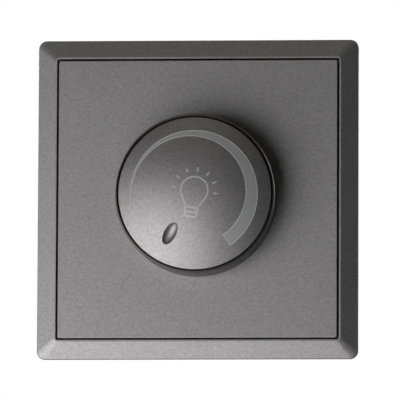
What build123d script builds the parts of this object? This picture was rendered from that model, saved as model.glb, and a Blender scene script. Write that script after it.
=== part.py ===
from build123d import *
import os
from math import cos, radians, sin, sqrt

# Rotary wall dimmer for a wall box with its two screws side by side. Millimetres.
# X is to the right, Z is up and the room is on the -Y side of the wall plane.
# The origin is the middle of the wall plane, midway between the two wall screws.
# A height is measured from the wall plane towards the room, so it is negative inside the wall.

# Outer frame
frame_size = 86.0
frame_height = 7.5
frame_side_height = 5.8
frame_side_taper = 0.65
frame_corner = 2.3
frame_wall = 1.6
frame_edge_radius = 0.35
bevel_width = 4.7
land_width = 0.45
land_corner = 1.2
inner_wall = 1.4
ledge_reach = 3.0
ledge_thickness = 1.6
frame_rib = 1.0
frame_rib_pitch = 15.0
frame_ribs_per_side = 5
frame_rib_foot = 1.0
lug_thickness = 1.35
lug_length = 8.0
lug_pitch = 36.0
lug_foot = 0.6

# Centre plate
panel_gap = 0.5
panel_thickness = 2.2
panel_corner = 0.6
panel_edge_radius = 0.2
panel_skirt = 1.5
panel_boss_radius = 9.0
panel_rib = 1.0
panel_rib_depth = 2.1

# Metal support plate and the two wall screw slots in it
support_thickness = 1.2
support_rim_height = 2.8
support_rim_length = 58.0
support_corner = 3.0
support_play = 0.2
wall_screw_spacing = 60.3
wall_slot_length = 7.5
wall_slot_width = 4.2

# Knob body, which is a cup turned face down with a web and a hub
knob_radius = 21.3
knob_foot_taper = 0.3
knob_height = 11.6
knob_clearance = 0.4
knob_wall = 1.8
knob_rim_width = 0.45
knob_rim_radius = 0.2
knob_foot_chamfer = 0.3
web_depth = 1.9
web_thickness = 1.7
hub_radius = 5.5
hub_head = 2.6
hub_end_wall = 0.8
hub_slit_width = 0.8
hub_slit_length = 4.2
hub_groove_depth = 0.5
hub_groove_width = 1.0
hub_groove_offset = 1.5
knob_rib = 1.2
knob_rib_depth = 1.6
knob_ribs = 6
rib_root = 0.4

# Domed cap in the knob's face
cap_gap = 0.45
cap_drop = 0.2
cap_rise = 4.0
cap_thickness = 2.2
cap_edge_radius = 0.25
peg_count = 3
peg_radius = 1.2
peg_circle = 14.0
peg_clearance = 0.2
peg_tail = 0.5

# Marker dimple in the cap, at its place in the rest position
marker_angle = 240.0
marker_distance = 12.7
marker_half_length = 3.61
marker_half_width = 1.75
marker_lift = 0.65

# Spring ring round the slit hub
spring_sheet = 0.84
spring_fit = 0.03
spring_opening = 50.0

# Potentiometer: bushing, shaft, can, track and wiper
bushing_radius = 5.0
bushing_play = 0.2
bushing_stand = 0.2
bushing_flange = 1.4
washer_thickness = 0.8
washer_radius = 8.0
nut_thickness = 2.4
nut_across_flats = 14.0
nut_chamfer = 0.5
thread_fit = 0.02
shaft_radius = 3.0
shaft_play = 0.05
shaft_flat_depth = 1.0
shaft_end_gap = 0.2
shaft_tail_radius = 2.0
key_width = 2.4
key_thickness = 1.0
key_recess = 0.2
key_distance = 6.7
key_play = 0.15
can_radius = 8.5
can_wall = 0.5
can_depth = 8.6
can_rim = 0.2
can_fit = 0.05
can_window_width = 13.4
track_thickness = 0.8
track_radius = 7.6
track_hole = 4.2
pin_width = 1.2
pin_thickness = 0.4
pin_pitch = 5.0
pin_inner = 6.4
pin_reach = 11.0
pin_tail = 1.0
pin_hole_play = 0.3
wiper_radius = 6.0
wiper_inner = 3.5
wiper_sheet = 0.25
wiper_finger = 0.6
wiper_finger_inset = 5.0
wiper_touch = 0.05
wiper_half_angle = 35.0
carrier_radius = 6.5
carrier_gap = 1.05
carrier_thickness = 1.6
stop_radius = 7.5
stop_inner = 6.8
stop_half_angle = 14.0
lug_half_angle = 15.0

# Turning range, counted clockwise from the rest position as seen from the room
turn_low = -9.0
turn_high = 291.0

# Rotary switch case behind the can
switch_size = 15.0
switch_depth = 5.4
switch_corner = 1.5
blade_width = 2.5
blade_thickness = 0.6
blade_pitch = 9.0

# Module housing, which sits in the wall box
module_size = 50.0
module_depth = 30.0
module_wall = 1.8
module_corner = 3.0
module_back_radius = 1.0
boss_inset = 3.4
boss_radius = 2.6
corner_block = 6.4
vent_count = 5
vent_pitch = 4.0
vent_width = 1.5
vent_length = 12.0
vent_start = 3.5
module_screw_radius = 1.25
module_screw_length = 10.0
module_screw_head = 2.3
module_screw_head_height = 1.3
module_screw_head_chamfer = 0.5
module_screw_play = 0.35
recess_width = 0.6
recess_length = 2.6
recess_depth = 0.7

# Circuit board
board_thickness = 1.6
board_gap = 0.3
board_notch = 3.0

# Triac with its insulator, heat spreader and screw
spreader_thickness = 1.5
spreader_width = 11.0
spreader_length = 18.0
insulator_thickness = 0.2
insulator_margin = 0.3
triac_side_gap = 0.6
triac_z = -2.0
triac_width = 10.0
triac_body_length = 9.2
triac_body_thickness = 4.4
triac_tab_length = 6.4
triac_tab_thickness = 1.3
triac_hole_radius = 1.85
triac_hole_inset = 2.8
triac_lead_width = 0.8
triac_lead_thickness = 0.5
triac_lead_pitch = 2.54
triac_lead_reach = 2.6
triac_lead_depth = 2.4
triac_screw_radius = 1.4
triac_screw_head = 2.7
triac_screw_head_height = 2.0

# Interference choke
choke_side_gap = 0.8
choke_film_gap = 0.6
core_radius = 8.0
core_hole = 4.5
core_height = 6.0
core_edge = 0.5
wire_size = 0.8
winding_fit = 0.1
winding_turns = 12

# Capacitors, resistors and trigger diode
film_side_gap = 1.3
film_top_gap = 2.2
film_length = 18.0
film_pin_gap = 2.0
film_height = 11.0
film_edge = 0.6
timing_x = 7.0
timing_z = -6.0
timing_length = 7.2
timing_width = 3.5
timing_height = 6.5
timing_edge = 0.5
resistor_fuse_gap = 3.2
resistor_film_gap = 2.8
resistor_pitch = 5.0
resistor_length = 6.3
resistor_radius = 1.2
resistor_waist = 0.2
diode_x = -1.0
diode_z = -8.0
diode_length = 4.2
diode_radius = 0.95
diode_band = 0.1
lead_radius = 0.3
lead_overhang = 1.6

# Fuse and its clips
fuse_side_gap = 0.85
fuse_length = 20.0
fuse_radius = 2.4
fuse_cap_length = 5.0
fuse_cap_wall = 0.2
fuse_lift = 1.2
clip_sheet = 0.4
clip_width = 3.6
clip_fit = 0.05
clip_foot = 4.0
clip_mouth = 3.2

# Terminal block with two cage clamps
block_width = 26.0
block_depth = 10.4
block_back_gap = 0.2
block_side_gap = 0.6
clamp_pitch = 12.0
clamp_size = 6.4
clamp_sheet = 0.8
clamp_length = 7.0
clamp_play = 0.2
clamp_back_gap = 0.6
clamp_screw_radius = 1.45
clamp_screw_head = 1.9
clamp_screw_head_height = 1.4
clamp_screw_tip = 1.1
clamp_screw_slot = 0.6
clamp_screw_gap = 0.2
wire_window = 3.6
driver_window = 3.8

# Largest distance between an edge and the height at which it is looked for
edge_tolerance = 0.01

# Widths and heights that follow from the sizes above
panel_opening = frame_size - 2 * (bevel_width + land_width)
panel_size = panel_opening - 2 * panel_gap
ledge_opening = panel_opening - 2 * ledge_reach
ledge_top = support_rim_height + ledge_thickness
support_size = panel_opening - 2 * (lug_thickness + support_play)
panel_back = frame_height - panel_thickness
panel_rib_end = ledge_opening - 2 * support_play
knob_foot = frame_height + knob_clearance
knob_top = knob_foot + knob_height
web_top = knob_top - web_depth
web_bottom = web_top - web_thickness
cap_radius = knob_radius - knob_rim_width - cap_gap
cap_edge = knob_top - cap_drop
nut_top = frame_height + washer_thickness + nut_thickness
bushing_top = nut_top + bushing_stand
hub_foot = bushing_top + knob_clearance
hub_top = web_top + hub_head
shaft_top = hub_top - hub_end_wall - shaft_end_gap
track_back = -bushing_flange - track_thickness
carrier_front = track_back - carrier_gap
carrier_back = carrier_front - carrier_thickness
board_front = -can_depth - switch_depth
board_back = board_front - board_thickness
module_half = module_size / 2
inner_half = module_half - module_wall
boss_place = module_half - boss_inset
inner_back = module_wall - module_depth
clip_inner = fuse_radius + fuse_cap_wall + clip_fit
clip_outer = clip_inner + clip_sheet
fuse_x = inner_half - fuse_side_gap - clip_outer
film_x = inner_half - corner_block - film_side_gap - film_length / 2
film_width = inner_half - film_top_gap - film_pin_gap - pin_reach
film_z = inner_half - film_top_gap - film_width / 2
choke_radius = core_radius + winding_fit + wire_size
choke_x = choke_side_gap + choke_radius - inner_half
choke_z = film_z - film_width / 2 - choke_film_gap - choke_radius
resistor_x = fuse_x - clip_outer - resistor_fuse_gap - lead_overhang - resistor_length / 2
resistor_z = film_z - film_width / 2 - resistor_film_gap - resistor_radius - resistor_pitch / 2
triac_x = triac_side_gap + spreader_width / 2 - inner_half

clamp_z = block_side_gap - inner_half + clamp_screw_head_height + 2 * clamp_screw_gap + clamp_size / 2
clamp_back = inner_back + block_back_gap + clamp_back_gap
clamp_front = clamp_back + clamp_length
clamp_middle = (clamp_back + clamp_front) / 2
wire_z = clamp_z + clamp_screw_tip / 2

# Half section plane through the knob's axis: x is the distance from the axis, y is the height.
half_section = Plane(origin=(0, 0, 0), x_dir=(1, 0, 0), z_dir=(0, 0, -1))


def front(height):
    """Return the plane parallel to the wall at a height in front of it, facing the room."""
    return Plane.XZ.offset(height)


def turned(angle):
    """Return the half section plane turned about the knob's axis, anticlockwise seen from the room."""
    direction = (cos(radians(angle)), 0, sin(radians(angle)))
    across = (sin(radians(angle)), 0, -cos(radians(angle)))
    return Plane(origin=(0, 0, 0), x_dir=direction, z_dir=across)


def edges_at(part, height):
    """Return the edges of a part that lie at a height."""
    return part.edges().filter_by_position(Axis.Y, -height - edge_tolerance, -height + edge_tolerance)


def sector(outer, inner, middle_angle, half_angle):
    """Return the sketch of a ring sector about the knob's axis."""
    with BuildSketch() as shape:
        with BuildLine():
            start = middle_angle - half_angle
            outer_arc = CenterArc((0, 0), outer, start, 2 * half_angle)
            inner_arc = CenterArc((0, 0), inner, start, 2 * half_angle)
            Line(outer_arc @ 0, inner_arc @ 0)
            Line(outer_arc @ 1, inner_arc @ 1)
        make_face()
    return shape.sketch


def axial_component(place_x, place_z, length, radius, waist):
    """Return an axial component that lies on the board along X, with its two bent leads."""
    centre_height = board_back - radius
    half = length / 2
    lead_half = half + lead_overhang
    middle = (place_x, -centre_height, place_z)
    lead_end = (place_x - lead_half, -centre_height, place_z)
    with BuildPart() as component:
        with BuildSketch(Plane(origin=middle, x_dir=(1, 0, 0), z_dir=(0, 0, 1))):
            with BuildLine():
                Polyline(
                    (-half, 0),
                    (-half, radius),
                    (-half + 2 * waist + lead_radius, radius),
                    (-half + 3 * waist + lead_radius, radius - waist),
                    (half - 3 * waist - lead_radius, radius - waist),
                    (half - 2 * waist - lead_radius, radius),
                    (half, radius),
                    (half, 0),
                    close=True,
                )
            make_face()
        revolve(axis=Axis(middle, (1, 0, 0)))
        with BuildSketch(Plane(origin=lead_end, z_dir=(1, 0, 0))):
            Circle(lead_radius)
        extrude(amount=2 * lead_half)
        with BuildSketch(front(centre_height)):
            with Locations((place_x, place_z)):
                with GridLocations(2 * lead_half, 1, 2, 1):
                    Circle(lead_radius)
        extrude(amount=board_back - centre_height)
    return component.part


os.makedirs("parts", exist_ok=True)

# Outer frame: bevel and tapered side wall round a square opening, hollow behind, with a ledge that
# the centre plate presses on.
bevel_slope = (frame_height - frame_side_height) / bevel_width
bevel_drop = frame_wall * sqrt(1 + bevel_slope**2)
channel_outer = frame_size - 2 * frame_wall
channel_inner = panel_opening + 2 * inner_wall
channel_shoulder = frame_side_height + frame_wall * bevel_slope - bevel_drop
channel_top = frame_height - (inner_wall - land_width) * bevel_slope - bevel_drop
channel_middle = (channel_outer + channel_inner) / 4
rear_size = frame_size - 2 * frame_side_taper
channel_rear = channel_outer - 2 * frame_side_taper
with BuildPart() as outer_frame:
    with BuildSketch(front(0)):
        RectangleRounded(rear_size, rear_size, frame_corner)
    with BuildSketch(front(frame_side_height)):
        RectangleRounded(frame_size, frame_size, frame_corner)
    loft(ruled=True)
    with BuildSketch(front(frame_side_height)):
        RectangleRounded(frame_size, frame_size, frame_corner)
    with BuildSketch(front(frame_height)):
        land_size = panel_opening + 2 * land_width
        RectangleRounded(land_size, land_size, land_corner)
    loft(ruled=True)
    fillet(edges_at(outer_frame, frame_side_height), radius=frame_edge_radius)
    with BuildSketch(front(0)):
        RectangleRounded(channel_rear, channel_rear, land_corner)
    with BuildSketch(front(channel_shoulder)):
        RectangleRounded(channel_outer, channel_outer, land_corner)
    loft(ruled=True, mode=Mode.SUBTRACT)
    with BuildSketch(front(channel_shoulder)):
        RectangleRounded(channel_outer, channel_outer, land_corner)
    with BuildSketch(front(channel_top)):
        RectangleRounded(channel_inner, channel_inner, land_corner)
    loft(ruled=True, mode=Mode.SUBTRACT)
    with BuildSketch(front(support_rim_height)):
        RectangleRounded(channel_inner, channel_inner, land_corner)
    extrude(amount=channel_top - support_rim_height)
    with BuildSketch(front(ledge_top)):
        RectangleRounded(panel_opening, panel_opening, panel_corner)
    extrude(amount=frame_height - ledge_top, mode=Mode.SUBTRACT)
    with BuildSketch(front(support_rim_height)):
        RectangleRounded(ledge_opening, ledge_opening, panel_corner)
    extrude(amount=ledge_thickness, mode=Mode.SUBTRACT)
    with BuildSketch(front(frame_rib_foot)):
        with PolarLocations(channel_middle, 4):
            with GridLocations(1, frame_rib_pitch, 1, frame_ribs_per_side):
                Rectangle((channel_outer - channel_inner) / 2 + frame_wall / 2, frame_rib)
    extrude(amount=channel_top - frame_rib_foot)
    with BuildSketch(front(lug_foot)):
        with PolarLocations((panel_opening - lug_thickness) / 2, 4):
            with GridLocations(1, lug_pitch, 1, 2):
                Rectangle(lug_thickness, lug_length)
    extrude(amount=support_rim_height - lug_foot)
outer_frame.part.label = "outer_frame"
export_step(outer_frame.part, "parts/outer_frame.step")

# Centre plate: flat panel with a skirt that seats on the frame's ledge, and a ribbed boss that
# the bushing nut clamps to the support plate.
with BuildPart() as centre_plate:
    with BuildSketch(front(panel_back)):
        RectangleRounded(panel_size, panel_size, panel_corner)
    extrude(amount=panel_thickness)
    face_edges = centre_plate.faces().sort_by(Axis.Y)[0].edges()
    fillet(face_edges, radius=panel_edge_radius)
    with BuildSketch(front(ledge_top)):
        RectangleRounded(panel_size, panel_size, panel_corner)
        Rectangle(panel_size - 2 * panel_skirt, panel_size - 2 * panel_skirt, mode=Mode.SUBTRACT)
    extrude(amount=panel_back - ledge_top)
    with BuildSketch(front(support_thickness)):
        Circle(panel_boss_radius)
    extrude(amount=panel_back - support_thickness)
    with BuildSketch(front(panel_back - panel_rib_depth)):
        for offset_across in (-panel_boss_radius, 0, panel_boss_radius):
            with Locations((0, offset_across)):
                Rectangle(panel_rib_end, panel_rib)
            with Locations((offset_across, 0)):
                Rectangle(panel_rib, panel_rib_end)
    extrude(amount=panel_rib_depth)
    with BuildSketch(front(support_thickness)):
        Circle(bushing_radius + bushing_play)
    extrude(amount=frame_height - support_thickness, mode=Mode.SUBTRACT)
centre_plate.part.label = "centre_plate"
export_step(centre_plate.part, "parts/centre_plate.step")

# Support plate: stamped sheet with four turned-up rims that carry the frame's ledge.
triac_hole_z = triac_z + triac_tab_length - triac_hole_inset
with BuildPart() as mounting_plate:
    with BuildSketch(front(0)):
        RectangleRounded(support_size, support_size, support_corner)
        with GridLocations(wall_screw_spacing, 1, 2, 1):
            SlotOverall(wall_slot_length, wall_slot_width, mode=Mode.SUBTRACT)
        Circle(bushing_radius + bushing_play, mode=Mode.SUBTRACT)
        with Locations((0, -key_distance)):
            Rectangle(
                key_width + 2 * key_play, key_thickness + 2 * key_play, mode=Mode.SUBTRACT
            )
        with GridLocations(2 * boss_place, 2 * boss_place, 2, 2):
            Circle(module_screw_radius + module_screw_play, mode=Mode.SUBTRACT)
        with Locations((triac_x, triac_hole_z)):
            Circle(triac_screw_radius + thread_fit, mode=Mode.SUBTRACT)
    extrude(amount=support_thickness)
    with BuildSketch(front(support_thickness)):
        with PolarLocations((support_size - support_thickness) / 2, 4):
            Rectangle(support_thickness, support_rim_length)
    extrude(amount=support_rim_height - support_thickness)
mounting_plate.part.label = "mounting_plate"
export_step(mounting_plate.part, "parts/mounting_plate.step")

# Knob body: skirt that narrows to its foot, thin rim round the cap, web, slit hub and ribs.
knob_inner = knob_radius - knob_wall
knob_foot_radius = knob_radius - knob_foot_taper
with BuildPart() as knob_body:
    with BuildSketch(half_section):
        with BuildLine():
            Polyline(
                (0, hub_foot),
                (hub_radius, hub_foot),
                (hub_radius, web_bottom),
                (knob_inner, web_bottom),
                (knob_foot_radius - knob_wall, knob_foot),
                (knob_foot_radius, knob_foot),
                (knob_radius, knob_top),
                (knob_radius - knob_rim_width, knob_top),
                (knob_radius - knob_rim_width, web_top),
                (hub_radius, web_top),
                (hub_radius, hub_top),
                (0, hub_top),
                close=True,
            )
        make_face()
    revolve(axis=Axis.Y)
    rim_edge = edges_at(knob_body, knob_top).sort_by(SortBy.RADIUS)[-1]
    fillet(rim_edge, radius=knob_rim_radius)
    foot_edge = edges_at(knob_body, knob_foot).sort_by(SortBy.RADIUS)[-1]
    chamfer(foot_edge, length=knob_foot_chamfer)
    with BuildSketch(front(web_bottom - knob_rib_depth)):
        with PolarLocations((hub_radius + knob_inner) / 2, knob_ribs):
            Rectangle(knob_inner - hub_radius + 2 * rib_root, knob_rib)
    extrude(amount=knob_rib_depth)
    with BuildSketch(front(hub_foot)):
        Circle(shaft_radius + shaft_play)
        with Locations((0, shaft_radius - shaft_flat_depth + shaft_play)):
            Rectangle(
                4 * shaft_radius,
                2 * shaft_radius,
                align=(Align.CENTER, Align.MIN),
                mode=Mode.SUBTRACT,
            )
    extrude(amount=hub_top - hub_end_wall - hub_foot, mode=Mode.SUBTRACT)
    with BuildSketch(front(hub_foot)):
        Rectangle(2 * (hub_radius + rib_root), hub_slit_width)
    extrude(amount=hub_slit_length, mode=Mode.SUBTRACT)
    with BuildSketch(half_section):
        with Locations((hub_radius - hub_groove_depth, hub_foot + hub_groove_offset)):
            Rectangle(hub_radius, hub_groove_width, align=(Align.MIN, Align.MIN))
    revolve(axis=Axis.Y, mode=Mode.SUBTRACT)
    with BuildSketch(front(web_bottom)):
        with PolarLocations(peg_circle, peg_count, start_angle=90):
            Circle(peg_radius + peg_clearance)
    extrude(amount=web_thickness, mode=Mode.SUBTRACT)
knob_body.part.label = "knob_body"
export_step(knob_body.part, "parts/knob_body.step")

# Domed cap: spherical shell with a flat seat, three pegs in the knob's web, and a marker dimple.
dome_radius = (cap_radius**2 + cap_rise**2) / (2 * cap_rise)
dome_centre = cap_edge + cap_rise - dome_radius
cavity_dome = dome_radius - cap_thickness
marker_slope = marker_distance / dome_radius
marker_rise = dome_centre + sqrt(dome_radius**2 - marker_distance**2)
marker_tangent_along = sqrt(1 - marker_slope**2)
with BuildPart() as knob_cap:
    with BuildSketch(front(web_top)):
        Circle(cap_radius)
    extrude(amount=cap_edge + cap_rise - web_top)
    with Locations((0, -dome_centre, 0)):
        Sphere(dome_radius, mode=Mode.INTERSECT)
        Sphere(cavity_dome, mode=Mode.SUBTRACT)
    fillet(edges_at(knob_cap, cap_edge), radius=cap_edge_radius)
    peg_root = dome_centre + sqrt(cavity_dome**2 - peg_circle**2)
    with BuildSketch(front(web_bottom - peg_tail)):
        with PolarLocations(peg_circle, peg_count, start_angle=90):
            Circle(peg_radius)
    extrude(amount=peg_root + peg_radius - web_bottom + peg_tail)
    marker_out = (cos(radians(marker_angle)), sin(radians(marker_angle)))
    marker_place = Vector(
        (marker_distance + marker_lift * marker_slope) * marker_out[0],
        -(marker_rise + marker_lift * marker_tangent_along),
        (marker_distance + marker_lift * marker_slope) * marker_out[1],
    )
    marker_along = Vector(
        marker_tangent_along * marker_out[0],
        marker_slope,
        marker_tangent_along * marker_out[1],
    )
    marker_across = Vector(marker_out[1], 0, -marker_out[0])
    marker_plane = Plane(origin=marker_place, x_dir=marker_along, z_dir=marker_across)
    with BuildSketch(marker_plane):
        with BuildLine():
            curve = EllipticalCenterArc(
                (0, 0), marker_half_length, marker_half_width, start_angle=0, arc_size=180
            )
            Line(curve @ 1, curve @ 0)
        make_face()
    revolve(axis=Axis(marker_place, marker_along), mode=Mode.SUBTRACT)
knob_cap.part.label = "knob_cap"
export_step(knob_cap.part, "parts/knob_cap.step")

# Spring ring in the hub's groove, open on one side.
spring_height = hub_foot + hub_groove_offset + hub_groove_width / 2
with BuildPart() as knob_retaining_spring:
    with BuildSketch(turned(spring_opening / 2)):
        with Locations((hub_radius - hub_groove_depth + spring_fit, spring_height)):
            Rectangle(spring_sheet, spring_sheet, align=(Align.MIN, Align.CENTER))
    revolve(axis=-Axis.Y, revolution_arc=360 - spring_opening)
knob_retaining_spring.part.label = "knob_retaining_spring"
export_step(knob_retaining_spring.part, "parts/knob_retaining_spring.step")

# Washer and hexagon nut on the bushing, under the knob.
with BuildPart() as bushing_washer:
    with BuildSketch(front(frame_height)):
        Circle(washer_radius)
        Circle(bushing_radius + bushing_play, mode=Mode.SUBTRACT)
    extrude(amount=washer_thickness)
bushing_washer.part.label = "bushing_washer"
export_step(bushing_washer.part, "parts/bushing_washer.step")

with BuildPart() as bushing_nut:
    with BuildSketch(front(nut_top - nut_thickness)):
        RegularPolygon(nut_across_flats / 2, 6, major_radius=False)
    extrude(amount=nut_thickness)
    with BuildSketch(half_section):
        corner_radius = nut_across_flats / sqrt(3)
        with BuildLine():
            Polyline(
                (0, nut_top - nut_thickness),
                (corner_radius, nut_top - nut_thickness),
                (corner_radius, nut_top - nut_chamfer),
                (corner_radius - 2 * nut_chamfer, nut_top),
                (0, nut_top),
                close=True,
            )
        make_face()
    revolve(axis=Axis.Y, mode=Mode.INTERSECT)
    with BuildSketch(front(nut_top)):
        Circle(bushing_radius + thread_fit)
    extrude(amount=-nut_thickness, mode=Mode.SUBTRACT)
bushing_nut.part.label = "bushing_nut"
export_step(bushing_nut.part, "parts/bushing_nut.step")

# Threaded bushing with the potentiometer's front flange and its key.
with BuildPart() as threaded_bushing:
    with BuildSketch(front(0)):
        Circle(can_radius - can_wall - can_fit)
    extrude(amount=-bushing_flange)
    with BuildSketch(front(0)):
        Circle(bushing_radius)
    extrude(amount=bushing_top)
    bushing_end = threaded_bushing.faces().sort_by(Axis.Y)[0].edges()
    chamfer(bushing_end, length=knob_clearance)
    with BuildSketch(front(0)):
        with Locations((0, -key_distance)):
            Rectangle(key_width, key_thickness)
    extrude(amount=support_thickness - key_recess)
    with BuildSketch(front(bushing_top)):
        Circle(shaft_radius + shaft_play)
    extrude(amount=-bushing_top - bushing_flange, mode=Mode.SUBTRACT)
threaded_bushing.part.label = "threaded_bushing"
export_step(threaded_bushing.part, "parts/threaded_bushing.step")

# Can round the potentiometer, with a pressed lug that stops the wiper carrier at both ends.
marker_low = marker_angle - turn_low
marker_high = marker_angle - turn_high
lug_angle = (marker_low + marker_high) / 2 + 180
stop_lug = sector(can_radius - can_wall / 2, stop_inner, lug_angle, lug_half_angle)
with BuildPart() as potentiometer_can:
    with BuildSketch(front(-can_rim)):
        Circle(can_radius)
    extrude(amount=can_rim - can_depth)
    with BuildSketch(front(-can_rim)):
        Circle(can_radius - can_wall)
    extrude(amount=can_rim - can_depth + can_wall, mode=Mode.SUBTRACT)
    with BuildSketch(front(carrier_front)):
        add(stop_lug)
    extrude(amount=-carrier_thickness)
    with BuildSketch(front(-bushing_flange)):
        with Locations((0, can_radius)):
            Rectangle(can_window_width, can_radius)
    extrude(amount=-track_thickness - 2 * pin_thickness, mode=Mode.SUBTRACT)
potentiometer_can.part.label = "potentiometer_can"
export_step(potentiometer_can.part, "parts/potentiometer_can.step")

# Resistance track wafer and its three pins, which run back to the board.
with BuildPart() as resistance_track:
    with BuildSketch(front(-bushing_flange)):
        Circle(track_radius)
        Circle(track_hole, mode=Mode.SUBTRACT)
    extrude(amount=-track_thickness)
resistance_track.part.label = "resistance_track"
export_step(resistance_track.part, "parts/resistance_track.step")

with BuildPart() as track_pins:
    with BuildSketch(front(track_back)):
        with Locations((0, (pin_inner + pin_reach) / 2)):
            with GridLocations(pin_pitch, 1, 3, 1):
                Rectangle(pin_width, pin_reach - pin_inner)
    extrude(amount=-pin_thickness)
    with BuildSketch(front(track_back)):
        with Locations((0, pin_reach - pin_thickness / 2)):
            with GridLocations(pin_pitch, 1, 3, 1):
                Rectangle(pin_width, pin_thickness)
    extrude(amount=board_back - pin_tail - track_back)
track_pins.part.label = "track_pins"
export_step(track_pins.part, "parts/track_pins.step")

# Shaft with a flat for the knob, wiper carrier with a stop tab, and the wiper's sheet contact.
with BuildPart() as potentiometer_shaft:
    with BuildSketch(front(shaft_top)):
        Circle(shaft_radius)
    extrude(amount=carrier_back - shaft_top)
    with BuildSketch(front(shaft_top)):
        with Locations((0, shaft_radius - shaft_flat_depth)):
            Rectangle(4 * shaft_radius, 2 * shaft_radius, align=(Align.CENTER, Align.MIN))
    extrude(amount=hub_foot - shaft_top, mode=Mode.SUBTRACT)
    with BuildSketch(front(carrier_back)):
        Circle(shaft_tail_radius)
    extrude(amount=can_wall + can_fit - can_depth - carrier_back + shaft_end_gap)
potentiometer_shaft.part.label = "potentiometer_shaft"
export_step(potentiometer_shaft.part, "parts/potentiometer_shaft.step")

stop_tab = sector(stop_radius, shaft_radius + shaft_play, marker_angle, stop_half_angle)
with BuildPart() as wiper_carrier:
    with BuildSketch(front(carrier_front)):
        Circle(carrier_radius)
        add(stop_tab)
        Circle(shaft_radius + thread_fit, mode=Mode.SUBTRACT)
    extrude(amount=-carrier_thickness)
wiper_carrier.part.label = "wiper_carrier"
export_step(wiper_carrier.part, "parts/wiper_carrier.step")

contact_sheet = sector(wiper_radius, wiper_inner, marker_angle, wiper_half_angle)
with BuildPart() as wiper_contact:
    with BuildSketch(front(carrier_front)):
        add(contact_sheet)
    extrude(amount=wiper_sheet)
    with BuildSketch(front(carrier_front)):
        for side in (-1, 1):
            finger_angle = radians(marker_angle + side * (wiper_half_angle - wiper_finger_inset))
            finger_distance = (wiper_radius + track_hole) / 2
            finger_x = finger_distance * cos(finger_angle)
            finger_z = finger_distance * sin(finger_angle)
            with Locations((finger_x, finger_z)):
                Circle(wiper_finger)
    extrude(amount=carrier_gap - wiper_touch)
wiper_contact.part.label = "wiper_contact"
export_step(wiper_contact.part, "parts/wiper_contact.step")

# Sealed rotary switch behind the can, and its two blades through the board.
with BuildPart() as rotary_switch_case:
    with BuildSketch(front(-can_depth)):
        RectangleRounded(switch_size, switch_size, switch_corner)
    extrude(amount=-switch_depth)
rotary_switch_case.part.label = "rotary_switch_case"
export_step(rotary_switch_case.part, "parts/rotary_switch_case.step")

with BuildPart() as switch_blades:
    with BuildSketch(front(board_front)):
        with GridLocations(1, blade_pitch, 1, 2):
            Rectangle(blade_width, blade_thickness)
    extrude(amount=-board_thickness - pin_tail)
switch_blades.part.label = "switch_blades"
export_step(switch_blades.part, "parts/switch_blades.step")

# Module housing: open-fronted box with screw bosses, board seats, vents and terminal windows.
with BuildPart() as module_housing:
    with BuildSketch(front(-module_depth)):
        RectangleRounded(module_size, module_size, module_corner)
    extrude(amount=module_depth)
    back_edges = module_housing.faces().sort_by(Axis.Y)[-1].edges()
    fillet(back_edges, radius=module_back_radius)
    with BuildSketch(front(inner_back)):
        RectangleRounded(2 * inner_half, 2 * inner_half, module_corner - module_wall)
    extrude(amount=-inner_back, mode=Mode.SUBTRACT)
    with BuildSketch(front(inner_back)):
        with GridLocations(2 * inner_half - corner_block, 2 * inner_half - corner_block, 2, 2):
            Rectangle(corner_block, corner_block)
    extrude(amount=board_back - inner_back)
    with BuildSketch(front(inner_back)):
        with GridLocations(2 * boss_place, 2 * boss_place, 2, 2):
            Circle(boss_radius)
    extrude(amount=-inner_back)
    with BuildSketch(front(0)):
        with GridLocations(2 * boss_place, 2 * boss_place, 2, 2):
            Circle(module_screw_radius + thread_fit)
    extrude(amount=-module_screw_length, mode=Mode.SUBTRACT)
    with BuildSketch(Plane.YZ):
        with Locations((vent_start + vent_length / 2, 0)):
            with GridLocations(1, vent_pitch, 1, vent_count):
                SlotOverall(vent_length, vent_width)
    extrude(amount=module_size, both=True, mode=Mode.SUBTRACT)
    with BuildSketch(front(inner_back)):
        with Locations((0, wire_z)):
            with GridLocations(clamp_pitch, 1, 2, 1):
                Rectangle(wire_window, wire_window)
    extrude(amount=-module_wall, mode=Mode.SUBTRACT)
    with BuildSketch(Plane.XY.offset(-inner_half)):
        with Locations((0, -clamp_middle)):
            with GridLocations(clamp_pitch, 1, 2, 1):
                Rectangle(driver_window, driver_window)
    extrude(amount=-module_wall, mode=Mode.SUBTRACT)
module_housing.part.label = "module_housing"
export_step(module_housing.part, "parts/module_housing.step")

# Four cross-recessed screws that hold the support plate on the housing.
with BuildPart() as housing_screws:
    with BuildSketch(front(support_thickness)):
        with GridLocations(2 * boss_place, 2 * boss_place, 2, 2):
            Circle(module_screw_head)
    extrude(amount=module_screw_head_height)
    head_rims = housing_screws.faces().group_by(Axis.Y)[0].edges()
    chamfer(head_rims, length=module_screw_head_chamfer)
    with BuildSketch(front(support_thickness)):
        with GridLocations(2 * boss_place, 2 * boss_place, 2, 2):
            Circle(module_screw_radius)
    extrude(amount=-module_screw_length)
    with BuildSketch(front(support_thickness + module_screw_head_height)):
        with GridLocations(2 * boss_place, 2 * boss_place, 2, 2):
            Rectangle(recess_length, recess_width)
            Rectangle(recess_width, recess_length)
    extrude(amount=-recess_depth, mode=Mode.SUBTRACT)
housing_screws.part.label = "housing_screws"
export_step(housing_screws.part, "parts/housing_screws.step")

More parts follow.
